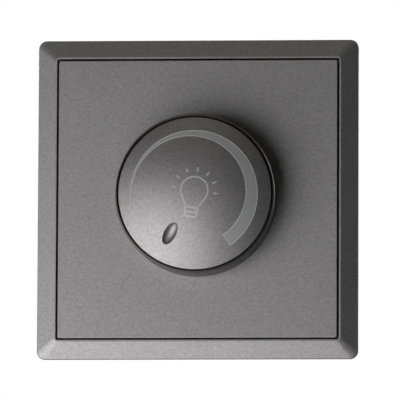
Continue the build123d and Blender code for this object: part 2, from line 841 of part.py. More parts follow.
# Circuit board on the housing's corner seats, with holes for pins, blades and leads.
with BuildPart() as circuit_board:
    board_size = 2 * (inner_half - board_gap)
    with BuildSketch(front(board_back)):
        Rectangle(board_size, board_size)
        with GridLocations(2 * boss_place, 2 * boss_place, 2, 2):
            Circle(board_notch, mode=Mode.SUBTRACT)
        with GridLocations(board_size, board_size, 2, 2):
            Rectangle(2 * boss_inset, 2 * boss_inset, mode=Mode.SUBTRACT)
        with Locations((0, pin_reach - pin_thickness / 2)):
            with GridLocations(pin_pitch, 1, 3, 1):
                Rectangle(
                    pin_width + pin_hole_play, pin_thickness + pin_hole_play, mode=Mode.SUBTRACT
                )
        with GridLocations(1, blade_pitch, 1, 2):
            Rectangle(
                blade_width + pin_hole_play, blade_thickness + pin_hole_play, mode=Mode.SUBTRACT
            )
        with Locations((triac_x, triac_z - triac_body_length - triac_lead_reach)):
            with GridLocations(triac_lead_pitch, 1, 3, 1):
                Rectangle(
                    triac_lead_width + pin_hole_play,
                    triac_lead_thickness + pin_hole_play,
                    mode=Mode.SUBTRACT,
                )
    extrude(amount=board_thickness)
circuit_board.part.label = "circuit_board"
export_step(circuit_board.part, "parts/circuit_board.step")

# Triac on its heat spreader, with the insulator between them and the screw through its tab.
spreader_z = triac_z + (triac_tab_length - triac_body_length) / 2
spreader_place = (triac_x, spreader_z)
with BuildPart() as heat_spreader:
    with BuildSketch(front(0)):
        with Locations(spreader_place):
            RectangleRounded(spreader_width, spreader_length, frame_rib)
        with Locations((triac_x, triac_hole_z)):
            Circle(triac_screw_radius + thread_fit, mode=Mode.SUBTRACT)
    extrude(amount=-spreader_thickness)
heat_spreader.part.label = "heat_spreader"
export_step(heat_spreader.part, "parts/heat_spreader.step")

insulator_back = -spreader_thickness - insulator_thickness
with BuildPart() as triac_insulator:
    with BuildSketch(front(-spreader_thickness)):
        with Locations(spreader_place):
            Rectangle(
                spreader_width - 2 * insulator_margin, spreader_length - 2 * insulator_margin
            )
        with Locations((triac_x, triac_hole_z)):
            Circle(triac_hole_radius, mode=Mode.SUBTRACT)
    extrude(amount=-insulator_thickness)
triac_insulator.part.label = "triac_insulator"
export_step(triac_insulator.part, "parts/triac_insulator.step")

lead_z = triac_z - triac_body_length - triac_lead_reach
lead_front = insulator_back - triac_lead_depth
with BuildPart() as triac:
    with BuildSketch(front(insulator_back)):
        with Locations((triac_x, triac_z + triac_tab_length)):
            Rectangle(
                triac_width,
                triac_tab_length + triac_body_length,
                align=(Align.CENTER, Align.MAX),
            )
        with Locations((triac_x, triac_hole_z)):
            Circle(triac_hole_radius, mode=Mode.SUBTRACT)
    extrude(amount=-triac_tab_thickness)
    with BuildSketch(front(insulator_back)):
        with Locations((triac_x, triac_z)):
            Rectangle(triac_width, triac_body_length, align=(Align.CENTER, Align.MAX))
    extrude(amount=-triac_body_thickness)
    with BuildSketch(front(lead_front)):
        with Locations((triac_x, lead_z - triac_lead_thickness / 2)):
            with GridLocations(triac_lead_pitch, 1, 3, 1):
                Rectangle(
                    triac_lead_width,
                    triac_lead_reach + triac_lead_thickness,
                    align=(Align.CENTER, Align.MIN),
                )
    extrude(amount=-triac_lead_thickness)
    with BuildSketch(front(lead_front)):
        with Locations((triac_x, lead_z)):
            with GridLocations(triac_lead_pitch, 1, 3, 1):
                Rectangle(triac_lead_width, triac_lead_thickness)
    extrude(amount=board_back - pin_tail - lead_front)
triac.part.label = "triac"
export_step(triac.part, "parts/triac.step")

tab_back = insulator_back - triac_tab_thickness
with BuildPart() as triac_screw:
    with BuildSketch(front(tab_back)):
        with Locations((triac_x, triac_hole_z)):
            Circle(triac_screw_head)
    extrude(amount=-triac_screw_head_height)
    with BuildSketch(front(tab_back)):
        with Locations((triac_x, triac_hole_z)):
            Circle(triac_screw_radius)
    extrude(amount=support_thickness - tab_back)
    with BuildSketch(front(tab_back - triac_screw_head_height)):
        with Locations((triac_x, triac_hole_z)):
            Rectangle(recess_length, recess_width)
            Rectangle(recess_width, recess_length)
    extrude(amount=recess_depth, mode=Mode.SUBTRACT)
triac_screw.part.label = "triac_screw"
export_step(triac_screw.part, "parts/triac_screw.step")

# Interference choke: ring core with square wire turns round it.
core_front = board_back - wire_size - winding_fit
turn_half_width = (core_radius - core_hole) / 2 + winding_fit
with BuildPart() as choke_core:
    with BuildSketch(front(core_front)):
        with Locations((choke_x, choke_z)):
            Circle(core_radius)
            Circle(core_hole, mode=Mode.SUBTRACT)
    extrude(amount=-core_height)
    chamfer(choke_core.edges().filter_by(GeomType.CIRCLE), length=core_edge)
choke_core.part.label = "choke_core"
export_step(choke_core.part, "parts/choke_core.step")

with BuildPart() as choke_winding:
    for turn in range(winding_turns):
        turn_angle = radians(360 * turn / winding_turns)
        turn_direction = (cos(turn_angle), 0, sin(turn_angle))
        turn_normal = (sin(turn_angle), 0, -cos(turn_angle))
        turn_place = (
            choke_x + (core_radius + core_hole) / 2 * turn_direction[0],
            core_height / 2 - core_front,
            choke_z + (core_radius + core_hole) / 2 * turn_direction[2],
        )
        with BuildSketch(Plane(origin=turn_place, x_dir=turn_direction, z_dir=turn_normal)):
            Rectangle(
                2 * (turn_half_width + wire_size), core_height + 2 * (winding_fit + wire_size)
            )
            Rectangle(2 * turn_half_width, core_height + 2 * winding_fit, mode=Mode.SUBTRACT)
        extrude(amount=wire_size / 2, both=True)
choke_winding.part.label = "choke_winding"
export_step(choke_winding.part, "parts/choke_winding.step")

# Film capacitor and timing capacitor, both boxes that stand on the board.
with BuildPart() as film_capacitor:
    with BuildSketch(front(board_back)):
        with Locations((film_x, film_z)):
            Rectangle(film_length, film_width)
    extrude(amount=-film_height)
    fillet(film_capacitor.edges().filter_by(Axis.Y), radius=film_edge)
film_capacitor.part.label = "film_capacitor"
export_step(film_capacitor.part, "parts/film_capacitor.step")

with BuildPart() as timing_capacitor:
    with BuildSketch(front(board_back)):
        with Locations((timing_x, timing_z)):
            Rectangle(timing_length, timing_width)
    extrude(amount=-timing_height)
    fillet(timing_capacitor.edges().filter_by(Axis.Y), radius=timing_edge)
timing_capacitor.part.label = "timing_capacitor"
export_step(timing_capacitor.part, "parts/timing_capacitor.step")

# Two resistors and the trigger diode, which lie on the board on their leads.
resistor_pair = [
    axial_component(resistor_x, place_z, resistor_length, resistor_radius, resistor_waist)
    for place_z in (resistor_z - resistor_pitch / 2, resistor_z + resistor_pitch / 2)
]
with BuildPart() as resistors:
    add(resistor_pair)
resistors.part.label = "resistors"
export_step(resistors.part, "parts/resistors.step")

diode_body = axial_component(diode_x, diode_z, diode_length, diode_radius, diode_band)
with BuildPart() as trigger_diode:
    add(diode_body)
trigger_diode.part.label = "trigger_diode"
export_step(trigger_diode.part, "parts/trigger_diode.step")

# Glass fuse across the board, its two end caps and the two sheet clips that hold it.
fuse_height = board_back - fuse_lift - fuse_radius
fuse_cap_radius = fuse_radius + fuse_cap_wall
fuse_end = Plane(origin=(fuse_x, -fuse_height, -fuse_length / 2), z_dir=(0, 0, 1))
with BuildPart() as fuse_tube:
    with BuildSketch(fuse_end.offset(fuse_cap_wall)):
        Circle(fuse_radius)
    extrude(amount=fuse_length - 2 * fuse_cap_wall)
fuse_tube.part.label = "fuse_tube"
export_step(fuse_tube.part, "parts/fuse_tube.step")

with BuildPart() as fuse_caps:
    for start in (0, fuse_length - fuse_cap_length):
        with BuildSketch(fuse_end.offset(start)):
            Circle(fuse_cap_radius)
        extrude(amount=fuse_cap_length)
    with BuildSketch(fuse_end.offset(fuse_cap_wall)):
        Circle(fuse_radius)
    extrude(amount=fuse_length - 2 * fuse_cap_wall, mode=Mode.SUBTRACT)
fuse_caps.part.label = "fuse_caps"
export_step(fuse_caps.part, "parts/fuse_caps.step")

with BuildPart() as fuse_clips:
    for start in (0, fuse_length - fuse_cap_length):
        clip_start = start + (fuse_cap_length - clip_width) / 2
        with BuildSketch(fuse_end.offset(clip_start)):
            with Locations((0, fuse_height - board_back)):
                Rectangle(clip_foot, fuse_lift + fuse_radius, align=(Align.CENTER, Align.MIN))
            Circle(clip_outer)
            Circle(clip_inner, mode=Mode.SUBTRACT)
            Rectangle(
                clip_mouth, 2 * clip_outer, align=(Align.CENTER, Align.MIN), mode=Mode.SUBTRACT
            )
        extrude(amount=clip_width)
fuse_clips.part.label = "fuse_clips"
export_step(fuse_clips.part, "parts/fuse_clips.step")

# Terminal block, its two sheet cage clamps and their screws.
block_front = board_back
block_back = inner_back + block_back_gap
block_bottom = block_side_gap - inner_half
with BuildPart() as terminal_block:
    with BuildSketch(front(block_back)):
        with Locations((0, block_bottom)):
            Rectangle(block_width, block_depth, align=(Align.CENTER, Align.MIN))
    extrude(amount=block_front - block_back)
    with BuildSketch(front(block_back)):
        with Locations((0, clamp_z)):
            with GridLocations(clamp_pitch, 1, 2, 1):
                Rectangle(clamp_size + 2 * clamp_play, clamp_size + 2 * clamp_play)
    extrude(amount=clamp_front + clamp_play - block_back, mode=Mode.SUBTRACT)
    with BuildSketch(Plane.XY.offset(block_bottom)):
        with Locations((0, -clamp_middle)):
            with GridLocations(clamp_pitch, 1, 2, 1):
                Rectangle(2 * clamp_screw_head + clamp_play, 2 * clamp_screw_head + clamp_play)
    extrude(amount=clamp_screw_head_height + 2 * clamp_screw_gap, mode=Mode.SUBTRACT)
terminal_block.part.label = "terminal_block"
export_step(terminal_block.part, "parts/terminal_block.step")

with BuildPart() as terminal_clamps:
    with BuildSketch(front(clamp_back)):
        with Locations((0, clamp_z)):
            with GridLocations(clamp_pitch, 1, 2, 1):
                Rectangle(clamp_size, clamp_size)
                Rectangle(
                    clamp_size - 2 * clamp_sheet, clamp_size - 2 * clamp_sheet, mode=Mode.SUBTRACT
                )
    extrude(amount=clamp_length)
    with BuildSketch(Plane.XY.offset(clamp_z - clamp_size / 2)):
        with Locations((0, -clamp_middle)):
            with GridLocations(clamp_pitch, 1, 2, 1):
                Circle(clamp_screw_radius + thread_fit)
    extrude(amount=clamp_sheet, mode=Mode.SUBTRACT)
terminal_clamps.part.label = "terminal_clamps"
export_step(terminal_clamps.part, "parts/terminal_clamps.step")

screw_seat = clamp_z - clamp_size / 2
with BuildPart() as terminal_screws:
    with BuildSketch(Plane.XY.offset(screw_seat)):
        with Locations((0, -clamp_middle)):
            with GridLocations(clamp_pitch, 1, 2, 1):
                Circle(clamp_screw_head)
    extrude(amount=-clamp_screw_head_height)
    with BuildSketch(Plane.XY.offset(screw_seat)):
        with Locations((0, -clamp_middle)):
            with GridLocations(clamp_pitch, 1, 2, 1):
                Circle(clamp_screw_radius)
    extrude(amount=clamp_sheet + clamp_screw_tip)
    with BuildSketch(Plane.XY.offset(screw_seat - clamp_screw_head_height)):
        with Locations((0, -clamp_middle)):
            with GridLocations(clamp_pitch, 1, 2, 1):
                Rectangle(2 * clamp_screw_head, clamp_screw_slot)
    extrude(amount=clamp_screw_slot, mode=Mode.SUBTRACT)
terminal_screws.part.label = "terminal_screws"
export_step(terminal_screws.part, "parts/terminal_screws.step")
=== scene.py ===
import logging
import math
from dataclasses import dataclass, field, replace
from enum import Enum
from typing import Callable

import bmesh
import bpy
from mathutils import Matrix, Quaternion, Vector


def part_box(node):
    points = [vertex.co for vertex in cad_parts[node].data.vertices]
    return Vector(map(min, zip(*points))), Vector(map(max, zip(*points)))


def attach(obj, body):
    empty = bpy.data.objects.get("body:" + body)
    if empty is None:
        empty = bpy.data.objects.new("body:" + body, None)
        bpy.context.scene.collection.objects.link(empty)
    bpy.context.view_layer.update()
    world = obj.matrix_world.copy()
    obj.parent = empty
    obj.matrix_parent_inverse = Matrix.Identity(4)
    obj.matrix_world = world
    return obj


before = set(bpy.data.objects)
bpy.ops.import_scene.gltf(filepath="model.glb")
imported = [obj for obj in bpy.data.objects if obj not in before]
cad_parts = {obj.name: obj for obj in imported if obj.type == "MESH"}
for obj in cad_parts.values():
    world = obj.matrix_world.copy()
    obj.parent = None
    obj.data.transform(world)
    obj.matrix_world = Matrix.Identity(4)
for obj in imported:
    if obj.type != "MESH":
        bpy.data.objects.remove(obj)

log = logging.getLogger("dimmer")
MM = 0.001
Colour = tuple[float, float, float]
Flat = tuple[float, float]
Node, Outputs, Socket = bpy.types.Node, bpy.types.NodeOutputs, bpy.types.NodeSocket
# Places of the colour sockets on Blender's Mix node.
MIX_FACTOR, MIX_LOW, MIX_HIGH, MIX_COLOUR = 0, 6, 7, 2


class Lay(Enum):
    """Direction of the fine lines in rolled or turned metal, as the stretch along X, Y and Z."""

    ALONG_X = (0.04, 1.0, 1.0)
    ALONG_Y = (1.0, 0.04, 1.0)
    ALONG_Z = (1.0, 1.0, 0.04)
    EVEN = (1.0, 1.0, 1.0)


class Axis(Enum):
    """An axis of the part."""

    X = "X"
    Y = "Y"
    Z = "Z"


class RingPaint(Enum):
    """Paint of the rings that tell a resistor's value."""

    BROWN = (0.30, 0.12, 0.04)
    BLACK = (0.02, 0.02, 0.02)
    ORANGE = (0.55, 0.16, 0.03)
    GOLD = (0.50, 0.36, 0.12)


class Wiring:
    """A node tree being wired, with short calls for its nodes, links and sums."""

    def __init__(self, tree: bpy.types.NodeTree) -> None:
        """Start on the emptied tree of a material, a world or a group."""
        self.tree = tree
        self.tree.nodes.clear()

    def add(self, kind: str, settings: dict | None = None, **sockets: object) -> Node:
        """Add a node and fill its inputs.

        Args:
            kind: The node's type name without the word ShaderNode.
            settings: Properties of the node itself.
            sockets: Input names, with an underscore for each blank, and a value or an output.

        Returns:
            The new node.
        """
        node = self.tree.nodes.new("ShaderNode" + kind if not kind.startswith("Node") else kind)
        for name, value in (settings or {}).items():
            setattr(node, name, value)
        self.fill(node, **sockets)
        return node

    def fill(self, node: Node, **sockets: object) -> None:
        """Fill some inputs of a node, named with an underscore for each blank."""
        for name, value in sockets.items():
            self.feed(node.inputs[name.replace("_", " ")], value)

    def feed(self, socket: Socket, value: object) -> None:
        """Link an output to an input, or set the input's value.

        Args:
            socket: The input.
            value: An output socket, a number, or a colour or vector.
        """
        if isinstance(value, Socket):
            self.tree.links.new(value, socket)
        elif isinstance(value, tuple) and len(value) == 3 and socket.type == "RGBA":
            socket.default_value = (*value, 1.0)
        else:
            socket.default_value = value

    def calculate(self, kind: str, operation: str, *values: object) -> Outputs:
        """Work out one sum.

        Args:
            kind: The node's type, Math or VectorMath.
            operation: The node's operation.
            values: As many outputs, numbers or vectors as the operation takes.

        Returns:
            The node's outputs.
        """
        node = self.add(kind, {"operation": operation})
        for socket, value in zip(node.inputs, values):
            self.feed(socket, value)
        return node.outputs

    def math(self, operation: str, *values: object) -> Socket:
        """Return the output of a sum on numbers."""
        return self.calculate("Math", operation, *values)[0]

    def vector(self, operation: str, *values: object) -> Outputs:
        """Return the outputs of a sum on vectors, Vector and Value."""
        return self.calculate("VectorMath", operation, *values)

    def times(self, first: object, *others: object) -> Socket:
        """Multiply some values.

        Args:
            first: An output or a number.
            others: More of them.

        Returns:
            The output with the product.
        """
        for other in others:
            first = self.math("MULTIPLY", first, other)
        return first

    def blend(self, factor: object, low: object, high: object, mode: str = "MIX") -> Socket:
        """Mix two colours.

        Args:
            factor: 0 gives the first colour and 1 the second, or the two blended in full.
            low: The first colour.
            high: The second colour.
            mode: The Mix node's blend type.

        Returns:
            The output with the mixed colour.
        """
        node = self.add("Mix", {"data_type": "RGBA", "blend_type": mode})
        self.feed(node.inputs[MIX_FACTOR], factor)
        self.feed(node.inputs[MIX_LOW], low)
        self.feed(node.inputs[MIX_HIGH], high)
        return node.outputs[MIX_COLOUR]

    def noise(self, place: Socket, size: object, detail: float, roughness: float) -> Socket:
        """Return soft noise whose patches have a size in metres."""
        fine = {"Scale": self.math("DIVIDE", 1.0, size), "Detail": detail, "Roughness": roughness}
        return self.add("TexNoise", Vector=place, **fine).outputs[0]

    def spot(self) -> Socket:
        """Return the shaded point in metres, in the piece's own space."""
        return self.add("TexCoord").outputs["Object"]

    def along(self, axis: Axis) -> Socket:
        """Return the shaded point's place along an axis of the piece."""
        return self.add("SeparateXYZ", Vector=self.spot()).outputs[axis.value]

    def facing(self, axis: Axis) -> Socket:
        """Return how far the surface looks along an axis, from -1 to 1."""
        normal = self.add("NewGeometry").outputs["Normal"]
        return self.add("SeparateXYZ", Vector=normal).outputs[axis.value]


class SharedEffect:
    """A shader node group with named inputs and outputs, built once and placed in many materials."""

    title = "effect"
    inputs: dict[str, object] = {}
    outputs: tuple[str, ...] = ()
    normals: tuple[str, ...] = ()

    @classmethod
    def group(cls) -> bpy.types.NodeTree:
        """Build the group at the first call.

        Returns:
            The group's node tree.
        """
        found = bpy.data.node_groups.get(cls.title)
        if found:
            return found
        tree = bpy.data.node_groups.new(cls.title, "ShaderNodeTree")
        number, vector = "NodeSocketFloat", "NodeSocketVector"
        for name, value in cls.inputs.items():
            kind = vector if isinstance(value, tuple) else number
            tree.interface.new_socket(name, in_out="INPUT", socket_type=kind).default_value = value
        for name in cls.outputs + cls.normals:
            kind = vector if name in cls.normals else number
            tree.interface.new_socket(name, in_out="OUTPUT", socket_type=kind)
        wiring = Wiring(tree)
        entry = wiring.add("NodeGroupInput")
        leave = wiring.add("NodeGroupOutput")
        for name, value in cls.wire(wiring, entry.outputs).items():
            wiring.feed(leave.inputs[name], value)
        return tree

    @classmethod
    def wire(cls, wiring: Wiring, entry: Outputs) -> dict[str, object]:
        """Wire the inside of the group.

        Args:
            wiring: The group's own tree.
            entry: The outputs of its input node.

        Returns:
            The value of each named output.
        """
        raise NotImplementedError

    @classmethod
    def place(cls, wiring: Wiring, **values: object) -> Outputs:
        """Place the group in a material, fill its named inputs and return its outputs."""
        return wiring.add("Group", {"node_tree": cls.group()}, **values).outputs


class FlakeGrain(SharedEffect):
    """The sandy grain of a metallic lacquer: small flakes of uneven tone in a fine orange peel."""

    title = "flake_grain"
    inputs = {"Flake Size": 0.00022, "Contrast": 0.2}
    outputs = ("Tone", "Height")
    clump_scale = 0.45
    flake_share = 0.5
    middle_tone = 0.75

    @classmethod
    def wire(cls, wiring: Wiring, entry: Outputs) -> dict[str, object]:
        """Wire the flakes. See SharedEffect.wire."""
        place = wiring.spot()
        per_metre = wiring.math("DIVIDE", 1.0, entry["Flake Size"])
        cells = wiring.add("TexVoronoi", Vector=place, Scale=per_metre, Randomness=1.0)
        tone = wiring.add("SeparateColor", Color=cells.outputs["Color"]).outputs[0]
        clumps = wiring.times(per_metre, cls.clump_scale)
        clump = wiring.add("TexNoise", Vector=place, Scale=clumps, Detail=2.0, Roughness=0.6)
        mixed = wiring.math("MULTIPLY_ADD", tone, cls.flake_share, clump.outputs[0])
        swing = wiring.math("SUBTRACT", mixed, cls.middle_tone)
        tone = wiring.math("MULTIPLY_ADD", swing, entry["Contrast"], 1.0)
        return {"Tone": tone, "Height": mixed}


class SlowDrift(SharedEffect):
    """A slow unevenness of tone over a whole face, as in a sprayed or moulded surface."""

    title = "slow_drift"
    inputs = {"Patch Size": 0.02, "Contrast": 0.1}
    outputs = ("Tone",)

    @classmethod
    def wire(cls, wiring: Wiring, entry: Outputs) -> dict[str, object]:
        """Wire the patches. See SharedEffect.wire."""
        patches = wiring.noise(wiring.spot(), entry["Patch Size"], detail=3.0, roughness=0.55)
        swing = wiring.math("SUBTRACT", patches, 0.5)
        return {"Tone": wiring.math("MULTIPLY_ADD", swing, entry["Contrast"], 1.0)}


class EdgeWear(SharedEffect):
    """A mask that is 1 on sharp edges, broken up as rubbing breaks it up."""

    title = "edge_wear"
    inputs = {"Width": 0.0002, "Breakup Size": 0.002, "Amount": 0.5}
    outputs = ("Mask",)
    normals = ("Rounded Normal",)
    gain = 9.0

    @classmethod
    def wire(cls, wiring: Wiring, entry: Outputs) -> dict[str, object]:
        """Wire the mask. See SharedEffect.wire."""
        rounded = wiring.add("Bevel", {"samples": 6}, Radius=entry["Width"]).outputs[0]
        own_normal = wiring.add("NewGeometry").outputs["Normal"]
        turned = wiring.math("SUBTRACT", 1.0, wiring.vector("DOT_PRODUCT", rounded, own_normal)["Value"])
        breakup = wiring.noise(wiring.spot(), entry["Breakup Size"], detail=4.0, roughness=0.65)
        broken = wiring.times(turned, cls.gain, breakup, entry["Amount"])
        return {"Mask": wiring.add("Clamp", Value=broken).outputs[0], "Rounded Normal": rounded}


class DrawnLines(SharedEffect):
    """Fine lines of rolled, drawn or turned metal."""

    title = "drawn_lines"
    inputs = {"Stretch": (1.0, 1.0, 1.0), "Line Size": 0.00015, "Contrast": 0.3}
    outputs = ("Tone", "Height")

    @classmethod
    def wire(cls, wiring: Wiring, entry: Outputs) -> dict[str, object]:
        """Wire the lines. See SharedEffect.wire."""
        stretched = wiring.vector("MULTIPLY", wiring.spot(), entry["Stretch"])["Vector"]
        lines = wiring.noise(stretched, entry["Line Size"], detail=5.0, roughness=0.6)
        swing = wiring.math("SUBTRACT", lines, 0.5)
        return {"Tone": wiring.math("MULTIPLY_ADD", swing, entry["Contrast"], 1.0), "Height": lines}


class MouldedSkin(SharedEffect):
    """The fine eroded skin that a mould leaves on plastic."""

    title = "moulded_skin"
    inputs = {"Pit Size": 0.0004}
    outputs = ("Tone", "Height")
    pit_share = 0.5
    darkest = 0.96
    swing = 0.08

    @classmethod
    def wire(cls, wiring: Wiring, entry: Outputs) -> dict[str, object]:
        """Wire the pits. See SharedEffect.wire."""
        place = wiring.spot()
        per_metre = wiring.math("DIVIDE", 1.0, entry["Pit Size"])
        pits = wiring.add("TexVoronoi", {"feature": "SMOOTH_F1"}, Vector=place, Scale=per_metre)
        skin = wiring.noise(place, entry["Pit Size"], detail=3.0, roughness=0.5)
        height = wiring.math("MULTIPLY_ADD", pits.outputs["Distance"], cls.pit_share, skin)
        return {"Tone": wiring.math("MULTIPLY_ADD", skin, cls.swing, cls.darkest), "Height": height}


class GrooveShade(SharedEffect):
    """A mask that is 1 deep in narrow grooves and tight corners, where shade is painted into the colour.
    """

    title = "groove_shade"
    inputs = {"Groove Size": 0.0008}
    outputs = ("Bare",)
    open_limit = 0.62
    gain = 2.6

    @classmethod
    def wire(cls, wiring: Wiring, entry: Outputs) -> dict[str, object]:
        """Wire the mask. See SharedEffect.wire."""
        open_share = wiring.add("AmbientOcclusion", {"samples": 8}, Distance=entry["Groove Size"])
        hidden = wiring.math("SUBTRACT", cls.open_limit, open_share.outputs["AO"])
        painted_shade = wiring.times(hidden, cls.gain)
        return {"Bare": wiring.add("Clamp", Value=painted_shade).outputs[0]}


class CutThread(SharedEffect):
    """The ridges of a screw thread along one stretch of an axis."""

    title = "cut_thread"
    inputs = {"Along": 0.0, "Start": 0.0, "End": 0.01, "Pitch": 0.0005}
    outputs = ("Height", "Root")

    @classmethod
    def wire(cls, wiring: Wiring, entry: Outputs) -> dict[str, object]:
        """Wire the ridges. See SharedEffect.wire."""
        turns = wiring.math("DIVIDE", entry["Along"], entry["Pitch"])
        ridge = wiring.times(wiring.math("PINGPONG", turns, 0.5), 2.0)
        after = wiring.math("GREATER_THAN", entry["Along"], entry["Start"])
        before = wiring.math("LESS_THAN", entry["Along"], entry["End"])
        cut = wiring.times(after, before)
        root = wiring.times(wiring.math("SUBTRACT", 1.0, ridge), cut)
        return {"Height": wiring.times(ridge, cut), "Root": root}


class RolledRim(SharedEffect):
    """The normal of a rim that rolls outward round the Y axis, for a rim that is modelled nearly flat."""

    title = "rolled_rim"
    inputs = {"Inner Radius": 0.02, "Outer Radius": 0.021, "Front": -0.01, "Roll": 0.9}
    outputs = ("Share",)
    normals = ("Outward",)
    across_axis = (1.0, 0.0, 1.0)

    @classmethod
    def wire(cls, wiring: Wiring, entry: Outputs) -> dict[str, object]:
        """Wire the rim. See SharedEffect.wire."""
        flat = wiring.vector("MULTIPLY", wiring.spot(), cls.across_axis)["Vector"]
        radius = wiring.vector("LENGTH", flat)["Value"]
        width = wiring.math("SUBTRACT", entry["Outer Radius"], entry["Inner Radius"])
        across = wiring.math("DIVIDE", wiring.math("SUBTRACT", radius, entry["Inner Radius"]), width)
        started = wiring.math("MAXIMUM", across, 0.0)
        ahead = wiring.math("LESS_THAN", wiring.along(Axis.Y), entry["Front"])
        to_world = {"vector_type": "NORMAL", "convert_from": "OBJECT", "convert_to": "WORLD"}
        turned = wiring.add("VectorTransform", to_world, Vector=flat).outputs["Vector"]
        return {
            "Share": wiring.math("MINIMUM", wiring.times(started, entry["Roll"], ahead), 1.0),
            "Outward": wiring.vector("NORMALIZE", turned)["Vector"],
        }


class CopperTracks(SharedEffect):
    """A mask that is 1 on the copper of a board's solder side, with gaps between its tracks."""

    title = "copper_tracks"
    inputs = {"Track Size": 0.007, "Gap": 0.06}
    outputs = ("Copper",)
    solder_side = -0.5

    @classmethod
    def wire(cls, wiring: Wiring, entry: Outputs) -> dict[str, object]:
        """Wire the tracks. See SharedEffect.wire."""
        edges = {"feature": "DISTANCE_TO_EDGE"}
        per_metre = wiring.math("DIVIDE", 1.0, entry["Track Size"])
        tracks = wiring.add("TexVoronoi", edges, Vector=wiring.spot(), Scale=per_metre, Randomness=0.8)
        inside = wiring.math("GREATER_THAN", tracks.outputs["Distance"], entry["Gap"])
        facing = wiring.math("LESS_THAN", wiring.facing(Axis.Y), cls.solder_side)
        return {"Copper": wiring.times(inside, facing)}


class DustFilm(SharedEffect):
    """A thin film of dust on faces that look up, thicker in patches."""

    title = "dust_film"
    inputs = {"Amount": 0.1}
    outputs = ("Mask",)
    speck_size = 1 / 900

    @classmethod
    def wire(cls, wiring: Wiring, entry: Outputs) -> dict[str, object]:
        """Wire the film. See SharedEffect.wire."""
        upward = wiring.math("MAXIMUM", wiring.facing(Axis.Z), 0.0)
        specks = wiring.noise(wiring.spot(), cls.speck_size, detail=6.0, roughness=0.7)
        return {"Mask": wiring.times(upward, specks, entry["Amount"])}


@dataclass(frozen=True)
class Finish:
    """What every finish has: a colour, a roughness and a name for its material."""

    name: str
    colour: Colour
    roughness: float = 0.5

    def material(self) -> bpy.types.Material:
        """Build the finish's material at the first call.

        Returns:
            The material.
        """
        found = bpy.data.materials.get(self.name)
        if found:
            return found
        made = bpy.data.materials.new(self.name)
        made.use_nodes = True
        wiring = Wiring(made.node_tree)
        shader = wiring.add("BsdfPrincipled", Roughness=self.roughness)
        leave = wiring.add("OutputMaterial")
        wiring.fill(leave, Surface=shader.outputs[0])
        self.wire(wiring, shader)
        return made

    def wire(self, wiring: Wiring, shader: Node) -> None:
        """Wire the finish into its shader.

        Args:
            wiring: The material's tree.
            shader: Its principled shader.
        """
        raise NotImplementedError

    def toned(self, wiring: Wiring, *tones: Socket) -> Socket:
        """Return the finish's colour multiplied by tones near 1 that change over the surface."""
        return wiring.blend(1.0, self.colour, wiring.times(*tones), "MULTIPLY")

    @staticmethod
    def fed(shader: Node, name: str) -> Socket:
        """Return the output that feeds a named input of the shader so far."""
        return shader.inputs[name].links[0].from_socket

    def bumped(
        self, wiring: Wiring, height: Socket, depth: float, normal: object | None = None
    ) -> Socket:
        """Bend the normal so that it follows a height.

        Args:
            wiring: The material's tree.
            height: A value that changes over the surface.
            depth: The height's depth in metres.
            normal: The normal under it, if it isn't the face's own.

        Returns:
            The output with the bent normal.
        """
        bump = wiring.add("Bump", Distance=depth, Height=height, Strength=1.0)
        if normal is not None:
            wiring.fill(bump, Normal=normal)
        return bump.outputs[0]


@dataclass(frozen=True)
class Lacquer(Finish):
    """Metallic lacquer on moulded plastic, with flakes, a fine peel, rubbed edges and painted shade in
    its grooves.
    """

    rubbed: Colour = (0.42, 0.415, 0.41)
    metal_share: float = 1.0
    flake_size: float = 0.0003
    flake_contrast: float = 0.42
    wear: float = 0.1
    peel: float = 0.000007
    edge_radius: float = 0.0001
    # Near-black colour of the painted shade in grooves and tight corners.
    painted_shade: Colour = (0.02, 0.02, 0.02)
    dust: Colour = (0.5, 0.49, 0.47)

    def wire(self, wiring: Wiring, shader: Node) -> None:
        """Wire the lacquer. See Finish.wire."""
        grain = FlakeGrain.place(wiring, Flake_Size=self.flake_size, Contrast=self.flake_contrast)
        drift = SlowDrift.place(wiring, Contrast=0.06)
        wear = EdgeWear.place(wiring, Width=self.edge_radius, Amount=self.wear)
        dust = DustFilm.place(wiring, Amount=0.05)
        toned = self.toned(wiring, grain["Tone"], drift["Tone"])
        rubbed = wiring.blend(wear["Mask"], toned, self.rubbed)
        dusty = wiring.blend(dust["Mask"], rubbed, self.dust)
        # Painted shade: the Bare output darkens gaps, grooves and the knob's foot toward the near-black
        # colour.
        thin = GrooveShade.place(wiring)
        wiring.fill(shader, Base_Color=wiring.blend(thin["Bare"], dusty, self.painted_shade))
        wiring.fill(shader, Roughness=wiring.times(drift["Tone"], self.roughness))
        wiring.fill(shader, Metallic=self.metal_share)
        normal = self.bumped(wiring, grain["Height"], self.peel, wear["Rounded Normal"])
        wiring.fill(shader, Normal=normal)


@dataclass(frozen=True)
class RimmedLacquer(Lacquer):
    """The lacquer on a round part whose front rim is rolled outward."""

    inner_radius: float = 0.02
    outer_radius: float = 0.021
    front: float = -0.01
    # Paler tone on the rolled rim, where the body's colour carries painted shade.
    rim: Colour = (0.25, 0.245, 0.24)

    def wire(self, wiring: Wiring, shader: Node) -> None:
        """Wire the lacquer, then roll its rim. See Finish.wire."""
        super().wire(wiring, shader)
        rim = RolledRim.place(
            wiring, Inner_Radius=self.inner_radius, Outer_Radius=self.outer_radius, Front=self.front
        )
        under = self.fed(shader, "Normal")
        rolled = wiring.vector("NORMALIZE", wiring.blend(rim["Share"], under, rim["Outward"]))["Vector"]
        wiring.fill(shader, Normal=rolled)
        skirt = self.fed(shader, "Base Color")
        wiring.fill(shader, Base_Color=wiring.blend(rim["Share"], skirt, self.rim))


